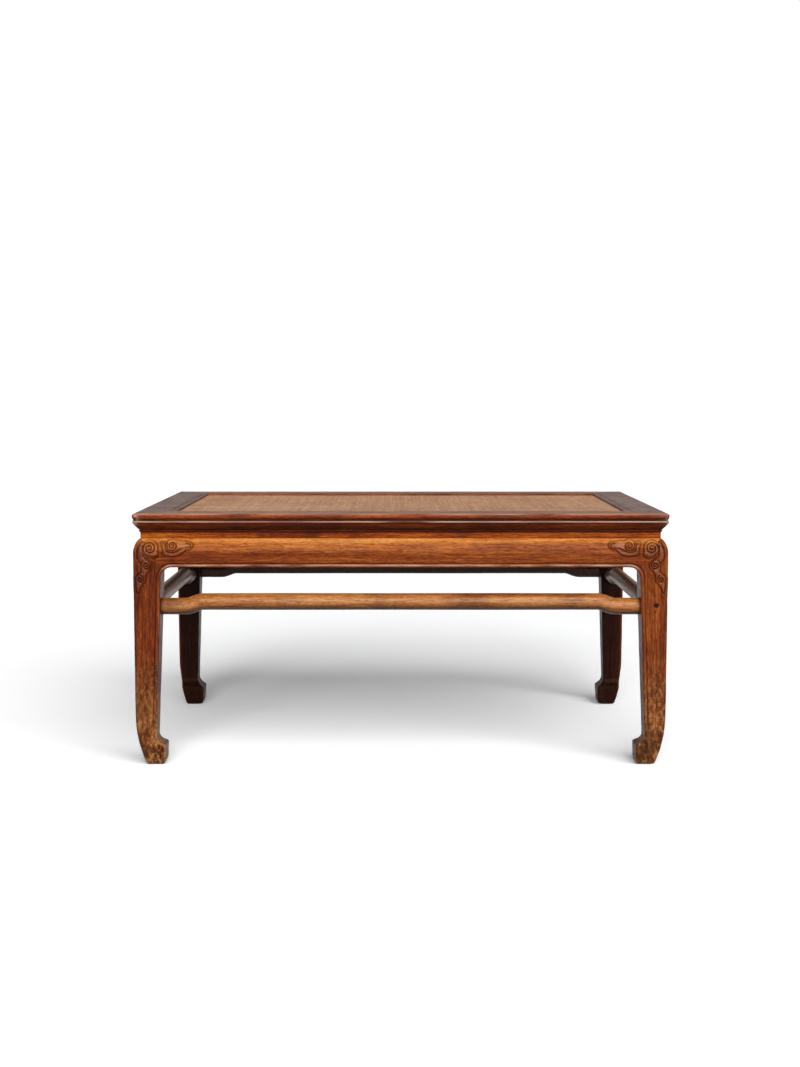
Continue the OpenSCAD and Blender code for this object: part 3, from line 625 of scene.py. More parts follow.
def face_relief(u, z, fade=1.0):
    """Everything that stands out of or sinks into the outer face of a leg or apron."""
    e = arch_distance(u, z)
    half = BEAD_W / 2
    crown = np.sqrt(np.clip(1 - ((e - half) / half) ** 2, 0, 1))
    bead = np.where(e < BEAD_W, -BEAD_SUNK + (BEAD_PROUD + BEAD_SUNK - 0.1) * crown,
                    -BEAD_SUNK * bell((e - BEAD_W) / 1.3))
    bead_groove = bell((e - BEAD_W - 0.2) / 0.9)
    height, groove, ridge = carving(u, z)
    seam = np.abs((u - seam_in(z)) * math.cos(math.atan((LEG_IN - SHOULDER_IN) / APRON_H)))
    joint = np.where(z > SPANDREL_Z, bell(seam / 0.5), 0)
    height = height + bead * fade - 0.25 * joint
    groove = np.maximum(groove, np.maximum(bead_groove * fade * 0.9, joint * 0.45))
    # The bead's crest is lighter, partly as real wear and partly as painted highlight, more on the aprons than
    # on the legs
    level = 0.25 + 0.75 * smooth_step((z - SPANDREL_Z - 6) / 14)
    patchy = 0.72 + 0.38 * wander(u, z, 0 * u, 55, 3)
    rubbed_and_highlight = np.where(e < BEAD_W, np.clip(crown - 0.72, 0, 1) * 3.0, 0)
    ridge = np.maximum(ridge, rubbed_and_highlight * fade * level * patchy)
    return height, groove, ridge


# Legs

FACE_POINTS = 96


def leg_edges(z):
    """At height z: the outer face, the seam on that face, the flange's depth, and the core."""
    outer = float(outer_in(z))
    if z > APRON_Z:
        core = face = float(seam_in(z))
    elif z < SPANDREL_Z:
        core = face = float(leg_inner(z))
    else:
        core, face = LEG_IN, float(min(arch_in(z), seam_in(z)))
    foot = SOLE_R * (1 - math.sqrt(max(0.0, 1 - max(0.0, 1 - z / SOLE_R) ** 2)))
    outer, face, core = outer + foot, face - foot, core - foot
    return outer, face, min(APRON_INNER, face), core


def relief_line(outer, face, z):
    """The carved face from its rounded outer edge to the seam: u, v, groove and ridge."""
    span = face - outer
    r = min(EDGE_R, span / 3)
    start = outer + r * (1 - math.sqrt(0.5))
    t = np.linspace(0, 1, FACE_POINTS)
    u = start + (face - start) * (0.5 * t + 0.5 * (1 - np.cos(math.pi * t)) / 2)
    d = np.clip(r - (u - outer), 0, r)
    v = outer + r - np.sqrt(np.maximum(r * r - d * d, 0))
    fade = float(smooth_step((z - ANKLE_Z - 6) / 22))
    height, groove, ridge = face_relief(u, np.full(FACE_POINTS, z), fade)
    inward = smooth_step((u - start) / 5.0)
    return u, v - height * inward * min(1.0, span / 6), groove * inward, ridge * inward


def inner_corner(flange, core, r):
    """The line from the flange to the rounded inner corner, and that corner's middle."""
    if core - flange <= 2 * r:
        return [(core, flange + (core - flange) * k / 9) for k in range(1, 9)], (core, core)
    line = [(core, flange + (core - r - flange) * k / 5) for k in range(1, 6)]
    line += [(core - r + r * math.cos(q), core - r + r * math.sin(q)) for q in np.radians([11.25, 22.5, 33.75])]
    return line, (core - r * (1 - math.sqrt(0.5)),) * 2


def leg_section(z):
    """One closed ring of a leg at height z, as (u, v), with the relief's values along it. The first
    half runs to the inner corner's middle, and the second mirrors it."""
    outer, face, flange, core = leg_edges(z)
    u, v, groove, ridge = relief_line(outer, face, z)
    gap = 1.0 if flange > v[-1] + 1.5 else 0.0
    side = [(face, y) for y in np.linspace(v[-1] + gap, flange, 9)[1:]]
    step = [(face + (core - face) * k / 3, flange) for k in (1, 2, 3)]
    corner, middle = inner_corner(flange, core, min(INNER_R, (face - outer) / 4))
    half = list(zip(u, v)) + side + step + corner
    ring = half + [middle] + [(y, x) for x, y in reversed(half[1:])]
    plain = np.zeros(len(half) - FACE_POINTS)
    g = np.concatenate([groove, plain])
    k = np.concatenate([ridge, plain])
    k[:5] = [0.4, *np.maximum(k[1:5], [0.34, 0.24, 0.14, 0.06])]
    return np.array(ring), np.concatenate([g, [0], g[1:][::-1]]), np.concatenate([k, [0.2], k[1:][::-1]])


def leg_heights():
    """Heights of a leg's sections, closest together where it curves or is carved."""
    toe = TOE_TOP - TOE_R + TOE_R * np.sin(np.radians(np.arange(0, 90, 11.25)))
    ankle = ANKLE_Z - ANKLE_R * np.cos(np.radians(np.linspace(0, 88, 13)))
    low = np.concatenate([[0, 0.3, 0.8, 1.5, 2.4, 4, 6, 8, 11], np.arange(14, 39, 2.0), toe, [TOE_TOP + 0.3],
                          np.sort(ankle)[1:]])
    up = spaced([(ANKLE_Z + 2, 2.2), (150, 4.0), (296, 1.2), (SPANDREL_Z - 34, 0.55), (WAIST_Z, 1)])
    return np.unique(np.round(np.concatenate([low, up]), 4))


def peg_mark(u, v, z, grooves):
    """The wood's dip and dark ring round the stretcher's peg, and a knot below it."""
    low, high = node_box("stretcher_peg")
    peg_u = TOP_W / 2 - (low[0] + high[0]) / 2
    peg_z, peg_r = (low[2] + high[2]) / 2, (high[2] - low[2]) / 2
    away = np.hypot(u - peg_u, z - peg_z)
    front = v < FACE_IN + 3
    knot = np.hypot((u - peg_u - 2.5) / 1.3, z - peg_z + 12)
    grooves = np.maximum(grooves, front * bell((away - peg_r) / 0.8) * 0.9)
    grooves = np.maximum(grooves, front * bell(knot / 1.6) * 0.9)
    return v + 0.5 * front * smooth_step(peg_r + 1.2 - away), grooves


def leg(name, right, back, shift, seed):
    """A leg with its shoulder, carved face, beads and hoof foot."""
    rings, grooves, ridges = [], [], []
    for z in leg_heights():
        ring, g, k = leg_section(z)
        rings.append(np.column_stack([ring, np.full(len(ring), z)]))
        grooves.append(g)
        ridges.append(k)
    rings = np.array(rings)
    u, v, z = rings[..., 0], rings[..., 1], rings[..., 2]
    worn = smooth_step((90 - z) / 60)
    uneven = wander(u, v, z, 60, seed) * 0.25 + wander(u, v, z, 17, seed + 1) * 0.35 * worn
    centre = np.stack([u.mean(axis=1, keepdims=True), v.mean(axis=1, keepdims=True)])
    away = np.stack([u, v]) - centre
    length = np.maximum(np.hypot(*away), 1e-6)
    keep = smooth_step((APRON_Z - 30 - z) / 40)
    u = u + away[0] / length * uneven * keep
    v = v + away[1] / length * uneven * keep
    grooves = np.array(grooves)
    if name.endswith("front_right"):
        v, grooves = peg_mark(u, v, z, grooves)
    rings = np.stack([u, v, z], axis=-1)
    post = post_points()
    count = rings.shape[0] * rings.shape[1]
    faces = closed_tube(rings) + [tuple(count + i for i in f) for f in BLOCK_FACES]
    points = to_corner(np.vstack([rings.reshape(-1, 3), post]), right, back)
    zeros = np.zeros(len(post))
    values = {"groove": np.concatenate([grooves.ravel(), zeros]),
              "ridge": np.concatenate([np.concatenate(ridges), zeros])}
    # Painted shade on the back legs' inner faces and neck
    if back:
        painted_shade = np.zeros(rings.shape[:2])
        painted_shade[:, FACE_POINTS:1 - FACE_POINTS] = 1.0
        values["inside"] = np.concatenate([painted_shade.ravel(), zeros + 1])
    middle = WARM_TONES if right else DEEP_TONES
    # The top zone is a painted highlight on the shoulder's upward curve, and the back legs' wood is painted
    # darker as shade
    zones = [(0.10, 0.22, middle), (0.37, 0.42, WARM_TONES), (0.43, 0.447, SHOULDER_HIGHLIGHT_TONES)]
    material = wood(name, "z", LEG_TONES, shift, gloss=0.34, worn=0.0 if back else 1.0, zones=zones,
                    shade=0.85 if back else 1.0)
    add_piece(name, points, faces, material, [name.replace("wood_", "")], values)


BLOCK_FACES = [(0, 3, 2, 1), (4, 5, 6, 7), (0, 1, 5, 4), (1, 2, 6, 5), (2, 3, 7, 6), (3, 0, 4, 7)]


POST_INSET, POST_CLEAR, POST_ROOT = 0.4, 0.1, 6.0


def post_points():
    """The leg's neck behind the aprons and the waist."""
    low, high = APRON_INNER + POST_CLEAR, LEG_IN - POST_INSET
    square = [(low, low), (high, low), (high, high), (low, high)]
    return np.array([(x, y, z) for z in (APRON_Z - POST_ROOT, RAIL_Z) for x, y in square])


def to_corner(points, right, back):
    """Moves points drawn as u, v and z to one of the stool's corners."""
    x = -TOP_W / 2 + points[:, 0]
    y = -TOP_D / 2 + points[:, 1]
    return np.column_stack([-x if right else x, -y if back else y, points[:, 2]])


LEGS = [("leg_front_left", False, False), ("leg_front_right", True, False),
        ("leg_back_left", False, True), ("leg_back_right", True, True)]
for index, (leg_name, on_right, at_back) in enumerate(LEGS):
    leg("wood_" + leg_name, on_right, at_back, (0.37 * index, 0.11 * index, 0.07 * index), 20 + index)


# Aprons

# How much painted shade an apron's underside gets
UNDER_UNLIT = 0.6


def apron_low(u):
    """Height of an apron's lower edge at distance u in from its end."""
    seam_z = WAIST_Z - (u - SHOULDER_IN) * APRON_H / (LEG_IN - SHOULDER_IN)
    d = np.clip(LEG_IN + SPANDREL_R - u, 0, SPANDREL_R)
    arc_z = SPANDREL_Z + np.sqrt(SPANDREL_R ** 2 - d ** 2)
    corner = np.where(u <= LEG_IN, seam_z, np.maximum(seam_z, arc_z))
    return np.where(u >= LEG_IN + SPANDREL_R, APRON_Z, corner)


def apron_column(u):
    """One closed loop round an apron at distance u in, as (v, z), with the relief's values and the painted
    shade on its inner face and underside.
    """
    low = float(apron_low(np.array(u)))
    t = np.concatenate([np.linspace(0, 0.25, 25)[:-1], np.linspace(0.25, 1, 80)])
    z = low + (WAIST_Z - low) * t
    v = outer_in(z)
    height, groove, ridge = face_relief(np.full(z.shape, u), z)
    thin = min(1.0, (WAIST_Z - low) / 6)
    v = v - height * thin
    inner = min(APRON_INNER, u)
    top = [(v[-1] + (inner - v[-1]) * k / 4, WAIST_Z) for k in (1, 2, 3, 4)]
    behind = [(inner, WAIST_Z + (low - WAIST_Z) * k / 6) for k in (1, 2, 3, 4, 5, 6)]
    under = [(inner + (v[0] - inner) * k / 6, low) for k in (1, 2, 3, 4, 5)]
    loop = np.array(list(zip(v, z)) + top + behind + under)
    pad = np.zeros(len(top) + len(behind) + len(under))
    # Painted shade: full on the inner face, partial on the underside
    painted_shade = np.concatenate([np.zeros(len(z) + len(top) - 1), np.ones(len(behind) + 1),
                             np.full(len(under), UNDER_UNLIT)])
    return loop, np.concatenate([groove, pad]), np.concatenate([ridge, pad]), painted_shade


def apron(name, length, width, turn, axis, shift, seed):
    """An apron for one side; turn puts what is drawn at the front on its own side."""
    half = spaced([(SHOULDER_IN + 0.02, 0.6), (124, 4.0), (160, 9.0), (length / 2, 1)])
    columns = [apron_column(u) for u in half]
    columns = columns + columns[:-1][::-1]
    loops = np.array([c[0] for c in columns])
    values = {key: np.array([c[k + 1] for c in columns]) for k, key in enumerate(("groove", "ridge", "inside"))}
    x = np.concatenate([half - length / 2, (length / 2 - half[:-1])[::-1]])
    x = np.repeat(x[:, None], loops.shape[1], axis=1)
    points = np.stack([x, loops[..., 0] - width / 2, loops[..., 1]], axis=-1)
    uneven = wander(points[..., 0], points[..., 1] * 0.3, points[..., 2], 150, seed) * 0.22
    middle = smooth_step((length / 2 - 130 - np.abs(x)) / 60)
    points[..., 1] += uneven * middle
    faces = closed_tube(points)
    # Painted highlight along the shoulder's upward-facing top
    crest = (WAIST_Z - 10) * MM
    zones = [(crest - 0.021, crest, SHOULDER_HIGHLIGHT_TONES), (crest, crest + 0.006, CREST_HIGHLIGHT_TONES)]
    material = wood("wood_" + name, axis, APRON_TONES, shift, gloss=0.35, zones=zones, shade=1.3, patchy=0.35)
    add_piece("wood_" + name, turn(points.reshape(-1, 3)), faces, material, [name], values)


def at_front(p):
    return p


def at_back_side(p):
    return np.column_stack([p[:, 0], -p[:, 1], p[:, 2]])


def at_left(p):
    return np.column_stack([p[:, 1], -p[:, 0], p[:, 2]])


def at_right(p):
    return np.column_stack([-p[:, 1], p[:, 0], p[:, 2]])


SIDES = [("front", TOP_W, TOP_D, at_front, "x"), ("back", TOP_W, TOP_D, at_back_side, "x"),
         ("left", TOP_D, TOP_W, at_left, "y"), ("right", TOP_D, TOP_W, at_right, "y")]
for index, (side, length, width, turn, axis) in enumerate(SIDES):
    shift = (0.5 + 0.3 * index, 0.2 * index, 0.13 * index)
    apron("apron_" + side, length, width, turn, axis, shift, 40 + index)


# Top frame and waist

def rounded(points, radii, steps=5):
    """Rounds the corners of a closed outline that are given a radius."""
    out = []
    points = np.array(points, dtype=float)
    for i, (p, radius) in enumerate(zip(points, radii)):
        if radius <= 0:
            out.append(p)
            continue
        before, after = points[i - 1] - p, points[(i + 1) % len(points)] - p
        before /= np.linalg.norm(before)
        after /= np.linalg.norm(after)
        for t in np.linspace(0, 1, steps + 1):
            out.append(p + before * radius * (1 - t) ** 2 + after * radius * t ** 2)
    return np.array(out)


PEG_PROUD = 0.2
RAIL_BEAD_R = 5.4
LINE_Z, LINE_IN, LINE_R = TOP_Z - 15.9, 3.4, 1.9
SLOPE_W, SLOPE_H, SLOPE_LOW, SLOPE_POWER = 12.0, 14.3, 4.4, 1.1


def rail_outline():
    """The rail's section: distance in, and height above the floor."""
    inner = TOP_D / 2 + STRIP_LOW[1]
    ledge = node_box("palm_net")[0][2]
    r = RAIL_BEAD_R
    out = [(RAIL_W, RAIL_Z + 1), (RAIL_W, ledge), (inner, ledge), (inner, TOP_Z - 0.8), (inner - 0.8, TOP_Z)]
    out += [(x, TOP_Z) for x in np.linspace(inner - 6, 9, 8)]
    out += [(r - r * math.sin(a), TOP_Z - r + r * math.cos(a)) for a in np.radians(np.arange(0, 141, 10))]
    out += [(2.6, TOP_Z - 10.4), (3.1, TOP_Z - 11.2), (3.2, TOP_Z - 12.8)]
    out += [(LINE_IN - LINE_R * math.cos(a), LINE_Z - LINE_R * math.sin(a))
            for a in np.radians(np.arange(-70, 61, 20))]
    for a in np.radians(np.arange(9, 91, 9)):
        out.append((FACE_IN + 0.1 + SLOPE_W * (1 - math.cos(a) ** (2 / SLOPE_POWER)),
                    RAIL_Z + SLOPE_LOW + SLOPE_H * (1 - math.sin(a) ** (2 / SLOPE_POWER))))
    edge = FACE_IN + SLOPE_W
    out += [(edge - 0.2, RAIL_Z + 3.9), (edge - 1.2, RAIL_Z + 3.6), (edge - 1.3, RAIL_Z + 1.9),
            (edge - 0.7, RAIL_Z + 1.2), (edge, RAIL_Z + PEG_PROUD)]
    out += [(x, RAIL_Z + PEG_PROUD) for x in (30, 50, RAIL_W - 1)]
    return np.array(out)


def near_places(outline, places, spread=1.2):
    """1 at each of the places on an outline, falling to 0 beside them."""
    best = np.zeros(len(outline))
    for place in places:
        best = np.maximum(best, np.exp(-((outline - np.array(place)) ** 2).sum(axis=1) / spread ** 2))
    return best


def corner_pull(u, v, r):
    """Rounds an upright outer edge: moves points near the corner onto a circle."""
    du, dv = np.clip(r - u, 0, None), np.clip(r - v, 0, None)
    far = np.hypot(du, dv)
    scale = np.where(far > r, r / np.maximum(far, 1e-6), 1.0)
    inside = (u < r) & (v < r)
    return np.where(inside, r - du * scale, u), np.where(inside, r - dv * scale, v)


def mitred_strip(name, outline, length, width, turn, material, nodes, values, seed, bend=0.0, corner_r=2.5,
                 worn_and_highlit_ends=0.0):
    """Sweeps an outline of (distance in, height) along one side, mitred at both ends."""
    near = spaced([(0, 1.2), (14, 3), (32, 7), (60, 14), (length / 2, 1)])
    t = np.concatenate([near, (length - near[:-1])[::-1]]) / length
    into = np.repeat(outline[None, :, 0], len(t), axis=0)
    height = np.repeat(outline[None, :, 1], len(t), axis=0)
    along = into + (length - 2 * into) * t[:, None]
    wobble = wander(along, into * 0.5, height * 2, 70, seed) * bend
    outer = smooth_step((20 - into) / 8)
    ends = smooth_step(np.minimum(along, length - along) / 30)
    into = into + np.abs(wobble) * outer * ends
    from_end = np.minimum(along, length - along)
    pulled_u, pulled_v = corner_pull(from_end, into, corner_r)
    along = np.where(along < length / 2, pulled_u, length - pulled_u)
    points = np.stack([along - length / 2, pulled_v - width / 2, height], axis=-1)
    faces = closed_tube(points)
    made = {key: np.repeat(np.asarray(value)[None, :], len(t), axis=0) for key, value in values.items()}
    # Lighter rubbed ends at the corners, partly real wear and partly painted highlight
    if worn_and_highlit_ends:
        patchy = np.clip(0.84 + 0.40 * wander(along, into, height * 2, 130, seed + 7), 0.3, 1)
        rubbed_and_highlight = 0.7 + 0.5 * wander(along, into, height, 16, seed)
        rubbed_and_highlight = rubbed_and_highlight * smooth_step((26 - from_end) / 20) * smooth_step((9 - into) / 5)
        made["ridge"] = np.maximum(made["ridge"] * patchy, worn_and_highlit_ends * np.clip(rubbed_and_highlight, 0, 1))
    add_piece(name, turn(points.reshape(-1, 3)), faces, material, nodes, made)


def frame_shift(index):
    """The stretch of the tree that a side's rail and seat strip come from."""
    return 0.9 + 0.4 * index, 0.3 * index, 0.21 * index


TOP_TONES = {"front": FRONT_TOP_TONES, "back": LONG_TOP_TONES,
             "left": SHORT_TOP_TONES, "right": SHORT_TOP_TONES}

RAIL_OUTLINE = rail_outline()
# Grooves and undercuts below the bead, the line, the slope and the fillet are darkened as painted shade. The
# top arris and the line are lightened, partly as real wear and partly as painted highlight.
RAIL_VALUES = {
    "groove": near_places(RAIL_OUTLINE, [(2.6, TOP_Z - 10.4), (3.2, TOP_Z - 12.4), (2.3, LINE_Z - 2.2),
                                         (13.6, RAIL_Z + 4.2), (13.6, RAIL_Z + 0.6)]),
    "ridge": near_places(RAIL_OUTLINE, [(3.2, TOP_Z - 0.4), (1.5, TOP_Z - 1.6), (1.5, LINE_Z + 0.4),
                                        (1.6, LINE_Z - 0.6)]),
}
for index, (side, length, width, turn, axis) in enumerate(SIDES):
    zones = [((TOP_Z - 12) * MM, (TOP_Z - 10) * MM, BEAD_TONES),
             ((TOP_Z - 1.2) * MM, (TOP_Z - 0.3) * MM, TOP_TONES[side])]
    material = wood("wood_frame_" + side, axis, FRAME_TONES, frame_shift(index), gloss=0.32, zones=zones,
                    patchy=0.7)
    mitred_strip("wood_frame_rail_" + side, RAIL_OUTLINE, length, width, turn, material, ["frame_rail_" + side],
                 RAIL_VALUES, 60 + index, bend=0.35, corner_r=7.0, worn_and_highlit_ends=0.75)

WAIST_FACE = [WAIST_Z + 1.6, WAIST_Z + 3.2, *(RAIL_Z - down for down in (5, 3.4, 2.2, 1.2, 0.1))]
WAIST_OUTLINE = rounded(
    [(WAIST_IN + 0.4, WAIST_Z), *((WAIST_IN, z) for z in WAIST_FACE), (APRON_INNER, RAIL_Z - 0.1),
     (APRON_INNER, WAIST_Z)], [0.5, 0.6, 0, 0, 0, 0, 0, 0, 0, 0])
# A faint dark joint line at the waist's foot, and painted shade at its top under the rail
WAIST_VALUES = {
    "groove": np.maximum(0.25 * bell((WAIST_OUTLINE[:, 1] - WAIST_Z) / 1.2),
                         0.92 * bell((WAIST_OUTLINE[:, 1] - RAIL_Z) / 2.2)),
    "ridge": np.zeros(len(WAIST_OUTLINE)),
}
for index, (side, length, width, turn, axis) in enumerate(SIDES):
    shift = (1.3 + 0.4 * index, 0.17 * index, 0.4 * index)
    material = wood("wood_waist_" + side, axis, WAIST_TONES, shift, gloss=0.36)
    mitred_strip("wood_waist_" + side, WAIST_OUTLINE, length, width, turn, material, ["waist_" + side],
                 WAIST_VALUES, 70 + index)

STRIP_IN = TOP_D / 2 + STRIP_LOW[1] + 0.15
STRIP_OUTLINE = rounded(
    [(STRIP_IN, STRIP_LOW[2]), (STRIP_IN, STRIP_HIGH[2] - PEG_PROUD), (RAIL_W, STRIP_HIGH[2] - PEG_PROUD),
     (RAIL_W, STRIP_LOW[2])],
    [0, 0.5, 1.2, 0.3])
STRIP_VALUES = {"groove": 0.3 * bell((STRIP_OUTLINE[:, 0] - STRIP_IN) / 0.7),
                "ridge": np.zeros(len(STRIP_OUTLINE))}
for index, (side, length, width, turn, axis) in enumerate(SIDES):
    material = wood("wood_strip_" + side, axis, TOP_TONES[side], frame_shift(index), gloss=0.32)
    mitred_strip("wood_seat_strip_" + side, STRIP_OUTLINE, length, width, turn, material,
                 ["seat_strip_" + side], STRIP_VALUES, 80 + index)


# Stretchers

HUMP_START, HUMP_RUN = 44.0, 36.0
BAR_SIDES = 56


def stretcher(name, side, length, width, turn, axis, shift, seed):
    """A round bar that rises to its middle, darker where little light comes."""
    low, high = node_box(name)
    diameter = min(high[1] - low[1], high[0] - low[0])
    rise = high[2] - low[2] - diameter
    centre = low[2] + diameter / 2
    reach = length / 2 - LEG_IN + LEG_W / 4
    rise_at = -reach + LEG_W / 4 + HUMP_START
    x = spaced([(-reach, 6.0), (rise_at - 4, 1.5), (rise_at + HUMP_RUN + 4, 12.0), (0, 1)])
    x = np.concatenate([x, -x[:-1][::-1]])
    t = np.clip((-rise_at - np.abs(x)) / HUMP_RUN, 0, 1)
    line = centre + rise * (1 - np.cos(math.pi * t)) / 2
    lean = np.gradient(line, x)
    angle = np.linspace(0, 2 * math.pi, BAR_SIDES, endpoint=False)
    r = diameter / 2 * (1 - 0.008 * (1 + np.sin(x / 61.0 + seed)))
    up = r[:, None] * np.sin(angle)[None, :]
    norm = np.sqrt(1 + lean ** 2)[:, None]
    px = x[:, None] - up * lean[:, None] / norm
    pz = line[:, None] + up / norm
    py = -width / 2 + FACE_IN + LEG_W / 2 + r[:, None] * np.cos(angle)[None, :]
    points = np.stack([px, py, pz], axis=-1)
    end = bell((reach - LEG_W / 4 + 1 - np.abs(px)) / 2.2).ravel()
    # Painted shade: the front bar's left end, the side bars' back ends, the back bar's inward side and the
    # underside of every bar
    facing_in = smooth_step(np.cos(angle) + 0.5)[None, :] + 0 * px
    to_back = {"front": 0, "back": 0, "left": -1, "right": 1}[side]
    painted_shade = {"front": 0.5 * smooth_step((-px - reach + 75) / 45), "back": facing_in}.get(
        side, 0.9 * smooth_step((to_back * px - reach + 120) / 80))
    painted_shade = np.maximum(painted_shade, 0.85 * smooth_step((0.12 - np.sin(angle)) / 0.95)[None, :])
    sheen, gloss, patchy = (1.0, 0.4, 0.3) if axis == "y" else (0.24, 0.24, 0.7)
    material = wood("wood_" + name, axis, BAR_TONES, shift, gloss=gloss, sheen=sheen, shade=1.14, patchy=patchy)
    values = {"groove": end * 0.7, "ridge": np.zeros(len(end)), "inside": painted_shade.ravel()}
    add_piece("wood_" + name, turn(points.reshape(-1, 3)), closed_tube(points), material,
              [name], values)


for index, (side, length, width, turn, axis) in enumerate(SIDES):
    shift = (2.3 + 0.4 * index, 0.3 * index, 0.1 * index)
    stretcher("stretcher_" + side, side, length, width, turn, axis, shift, 90 + index)


# Seat

STRAND_W = 3.0
MAT_STEPS = (231, 137)
SAG = 1.2


def cane(name):
    """Finely woven split cane, worn to a soft sheen."""
    s = Shader(name)
    split = s.split(s.place)
    across = s.math("DIVIDE", split["X"], STRAND_W * MM)
    along = s.math("DIVIDE", split["Y"], STRAND_W * MM)

    def wave(value):
        part = s.math("FRACT", value, 0.0)
        centred = s.math("ABSOLUTE", s.math("SUBTRACT", part, 0.5), 0.0)
        return s.math("SUBTRACT", 1.0, s.times(s.times(centred, centred), 3.6))

    cell = s.add(s.math("FLOOR", across, 0.0), s.math("FLOOR", along, 0.0))
    third = s.math("MODULO", s.add(cell, 30000.0), 4.0)
    over = s.math("LESS_THAN", third, 1.5)
    warp, weft = wave(across), wave(along)
    height = s.add(s.times(warp, over),
                    s.times(weft, s.math("SUBTRACT", 1.0, over)))
    patches = s.noise(s.place, (6, 6, 6), detail=4.0)
    warp_tone = s.noise(s.place, (380, 3, 3), detail=2.0)
    weft_tone = s.noise(s.place, (3, 380, 3), detail=2.0)
    tone = s.add(s.times(s.add(warp_tone, weft_tone), 0.35), s.times(patches, 0.3))
    colour = s.ramp(tone, [(0.35, linear(156, 108, 75)), (0.5, linear(195, 144, 104)),
                           (0.66, linear(221, 177, 141))])
    # The weave's low places are painted darker, as shade between the strands
    colour = s.blend("MULTIPLY", s.range(height, 0.75, 0.15, 0.0, 0.4), colour, linear(112, 84, 66))
    specks = s.noise(s.place, (150, 48, 48), detail=5.0, rough=0.8)
    colour = s.blend("MULTIPLY", s.range(specks, 0.56, 0.42, 0.0, 0.5), colour, linear(176, 156, 140))
    s.feed(s.surface.inputs["Base Color"], colour)
    s.surface.inputs["Roughness"].default_value = 0.62
    s.surface.inputs["Specular IOR Level"].default_value = 0.35
    s.feed(s.surface.inputs["Normal"], s.bump(height, 0.8, 0.0006))
    return s.material


def seat_sag(x, y):
    """How far the seat sags at a place, in millimetres."""
    free_w, free_d = (MAT_HIGH[0] - MAT_LOW[0]) / 2 - 14, (MAT_HIGH[1] - MAT_LOW[1]) / 2 - 14
    return SAG * smooth_step((free_w - np.abs(x)) / 260) * smooth_step((free_d - np.abs(y)) / 180)


def woven_mat():
    low, high = MAT_LOW, MAT_HIGH
    gx, gy = np.meshgrid(*(np.linspace(low[k], high[k], MAT_STEPS[k]) for k in (0, 1)), indexing="ij")
    ripple = wander(gx, gy, 0 * gx, 90, 7) * 0.18 * smooth_step(seat_sag(gx, gy) / 0.6)
    top = high[2] - seat_sag(gx, gy) + np.minimum(ripple, 0)
    bottom = top - (high[2] - low[2]) * 0.8
    upper = np.stack([gx, gy, top], axis=-1).reshape(-1, 3)
    lower = np.stack([gx, gy, bottom], axis=-1).reshape(-1, 3)
    rows, columns = gx.shape
    count = rows * columns
    faces = [f[::-1] for f in grid_faces(rows, columns)] + grid_faces(rows, columns, offset=count)
    place = np.arange(count).reshape(rows, columns)
    rim = np.concatenate([place[0], place[1:, -1], place[-1, -2::-1], place[-2:0:-1, 0]]).tolist()
    faces += [(a, b, b + count, a + count) for a, b in zip(rim, rim[1:] + rim[:1])]
    piece = add_piece("woven_seat", np.vstack([upper, lower]), faces, cane("split_cane"), ["cane_mat"])


woven_mat()


def palm_cord():
    """Twisted palm fibre."""
    s = Shader("palm_fibre")
    twist = s.node("TexWave", {"Vector": s.place, "Scale": 150.0, "Distortion": 1.5, "Detail": 2.0},
                   bands_direction="DIAGONAL")
    hairs = s.noise(s.place, (900, 900, 900), detail=3.0, rough=0.7)
    patches = s.noise(s.place, (14, 14, 14), detail=3.0)
    tone = s.add(s.times(twist.outputs["Fac"], 0.4), s.times(hairs, 0.35))
    tone = s.add(tone, s.times(patches, 0.3))
    s.feed(s.surface.inputs["Base Color"],
           s.ramp(tone, [(0.3, linear(50, 33, 20)), (0.52, linear(92, 66, 42)), (0.75, linear(136, 106, 74))]))
    s.surface.inputs["Roughness"].default_value = 0.8
    s.feed(s.surface.inputs["Normal"], s.bump(tone, 0.8, 0.0008))
    return s.material


NET_CELLS, NET_BAND = (20, 11), 14.0
CORDS_IN_BAND, CORD_SIDES, CORD_WEAVE, CORD_R = 4, 6, 0.55, 0.75


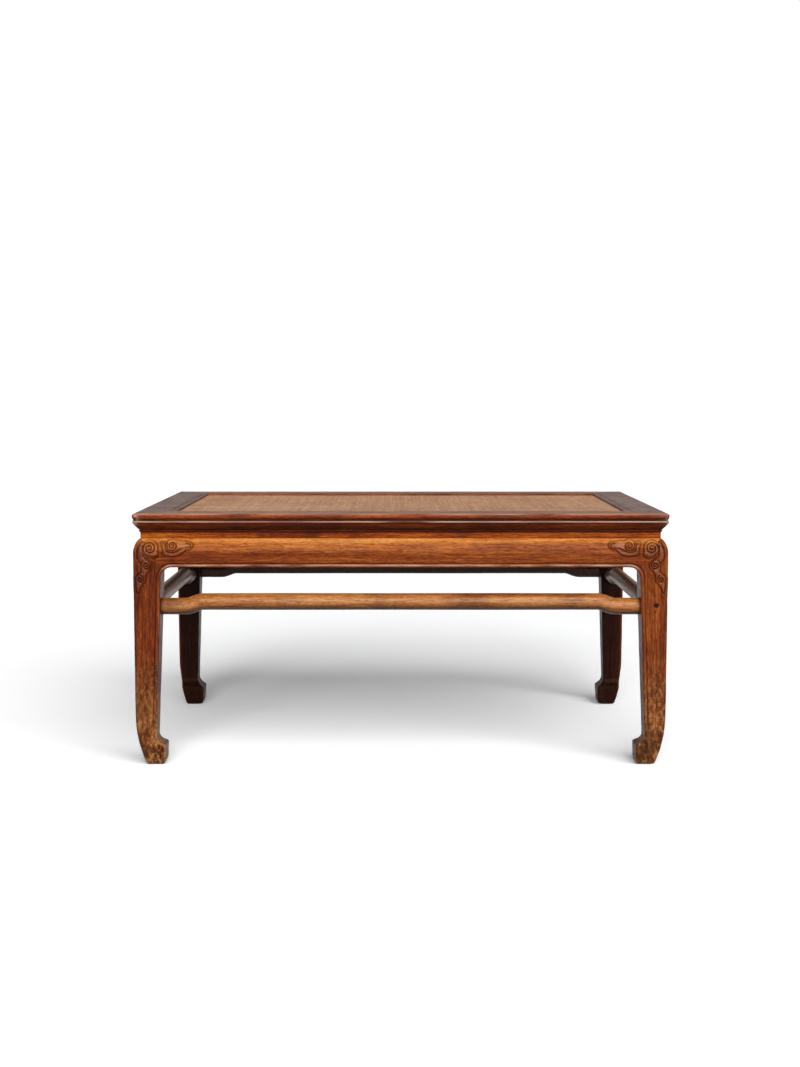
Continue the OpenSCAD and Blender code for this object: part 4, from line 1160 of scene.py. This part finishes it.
def cord_lines(half, opening, cells, way):
    """Rings of all cords that run one way, over and under the bands that cross them. Each pair
    gives a value along the cords and one across them."""
    pitch_along, pitch_across = [(o - NET_BAND) / n for o, n in zip(opening, cells)]
    steps = np.linspace(-half[0], half[0], cells[0] * 4 + 5)
    angle = np.linspace(0, 2 * math.pi, CORD_SIDES, endpoint=False)
    wide = NET_BAND / CORDS_IN_BAND * 0.46
    first = -opening[0] / 2 + NET_BAND / 2
    out = []
    for j in range(cells[1] + 1):
        for k in range(CORDS_IN_BAND):
            across = -opening[1] / 2 + j * pitch_across + NET_BAND * (k + 0.5) / CORDS_IN_BAND
            weave = way * CORD_WEAVE * (-1) ** j * np.cos(math.pi * (steps - first) / pitch_along)
            bowed = across + 0.5 * np.sin(steps / 47.0 + j * 1.7 + k)
            out.append(np.stack([np.repeat(steps[:, None], CORD_SIDES, axis=1),
                                 bowed[:, None] + wide * np.cos(angle)[None, :],
                                 weave[:, None] + CORD_R * np.sin(angle)[None, :]], axis=-1))
    return out


def palm_net():
    low, high = node_box("palm_net")
    opening = np.array([TOP_W, TOP_D]) - 2 * RAIL_W
    tubes = cord_lines(high[:2], opening, NET_CELLS, 1)
    tubes += [t[..., [1, 0, 2]] for t in cord_lines(high[1::-1], opening[::-1], NET_CELLS[::-1], -1)]
    points, faces, count = [], [], 0
    for tube in tubes:
        tube[..., 2] += (low[2] + high[2]) / 2 - seat_sag(tube[..., 0], tube[..., 1])
        faces += [tuple(count + i for i in f) for f in closed_tube(tube)]
        points.append(tube.reshape(-1, 3))
        count += tube.shape[0] * tube.shape[1]
    add_piece("palm_cords", np.vstack(points), faces, palm_cord(), ["palm_net"])


palm_net()


# Nodes that keep their own shape

PEG_TONES = (linear(22, 10, 6), linear(44, 22, 12), linear(70, 38, 20))
BAMBOO_TONES = (linear(98, 66, 34), linear(140, 104, 62), linear(176, 140, 92))
DRESSED = [
    (wood("peg_wood", "z", PEG_TONES, (3, 0, 0), gloss=0.45),
     ["frame_corner_pegs", "apron_dowels", "stretcher_peg"]),
    (wood("bamboo", "z", BAMBOO_TONES, (3, 1, 0), gloss=0.45), ["seat_strip_pins", "lacing_pegs"]),
    (wood("brace_wood", "y", LEG_TONES, (3, 2, 0), gloss=0.5), ["seat_brace_left", "seat_brace_right"]),
]
for material, node_names in DRESSED:
    for node_name in node_names:
        for slot in bpy.data.objects[node_name].material_slots:
            slot.material = material
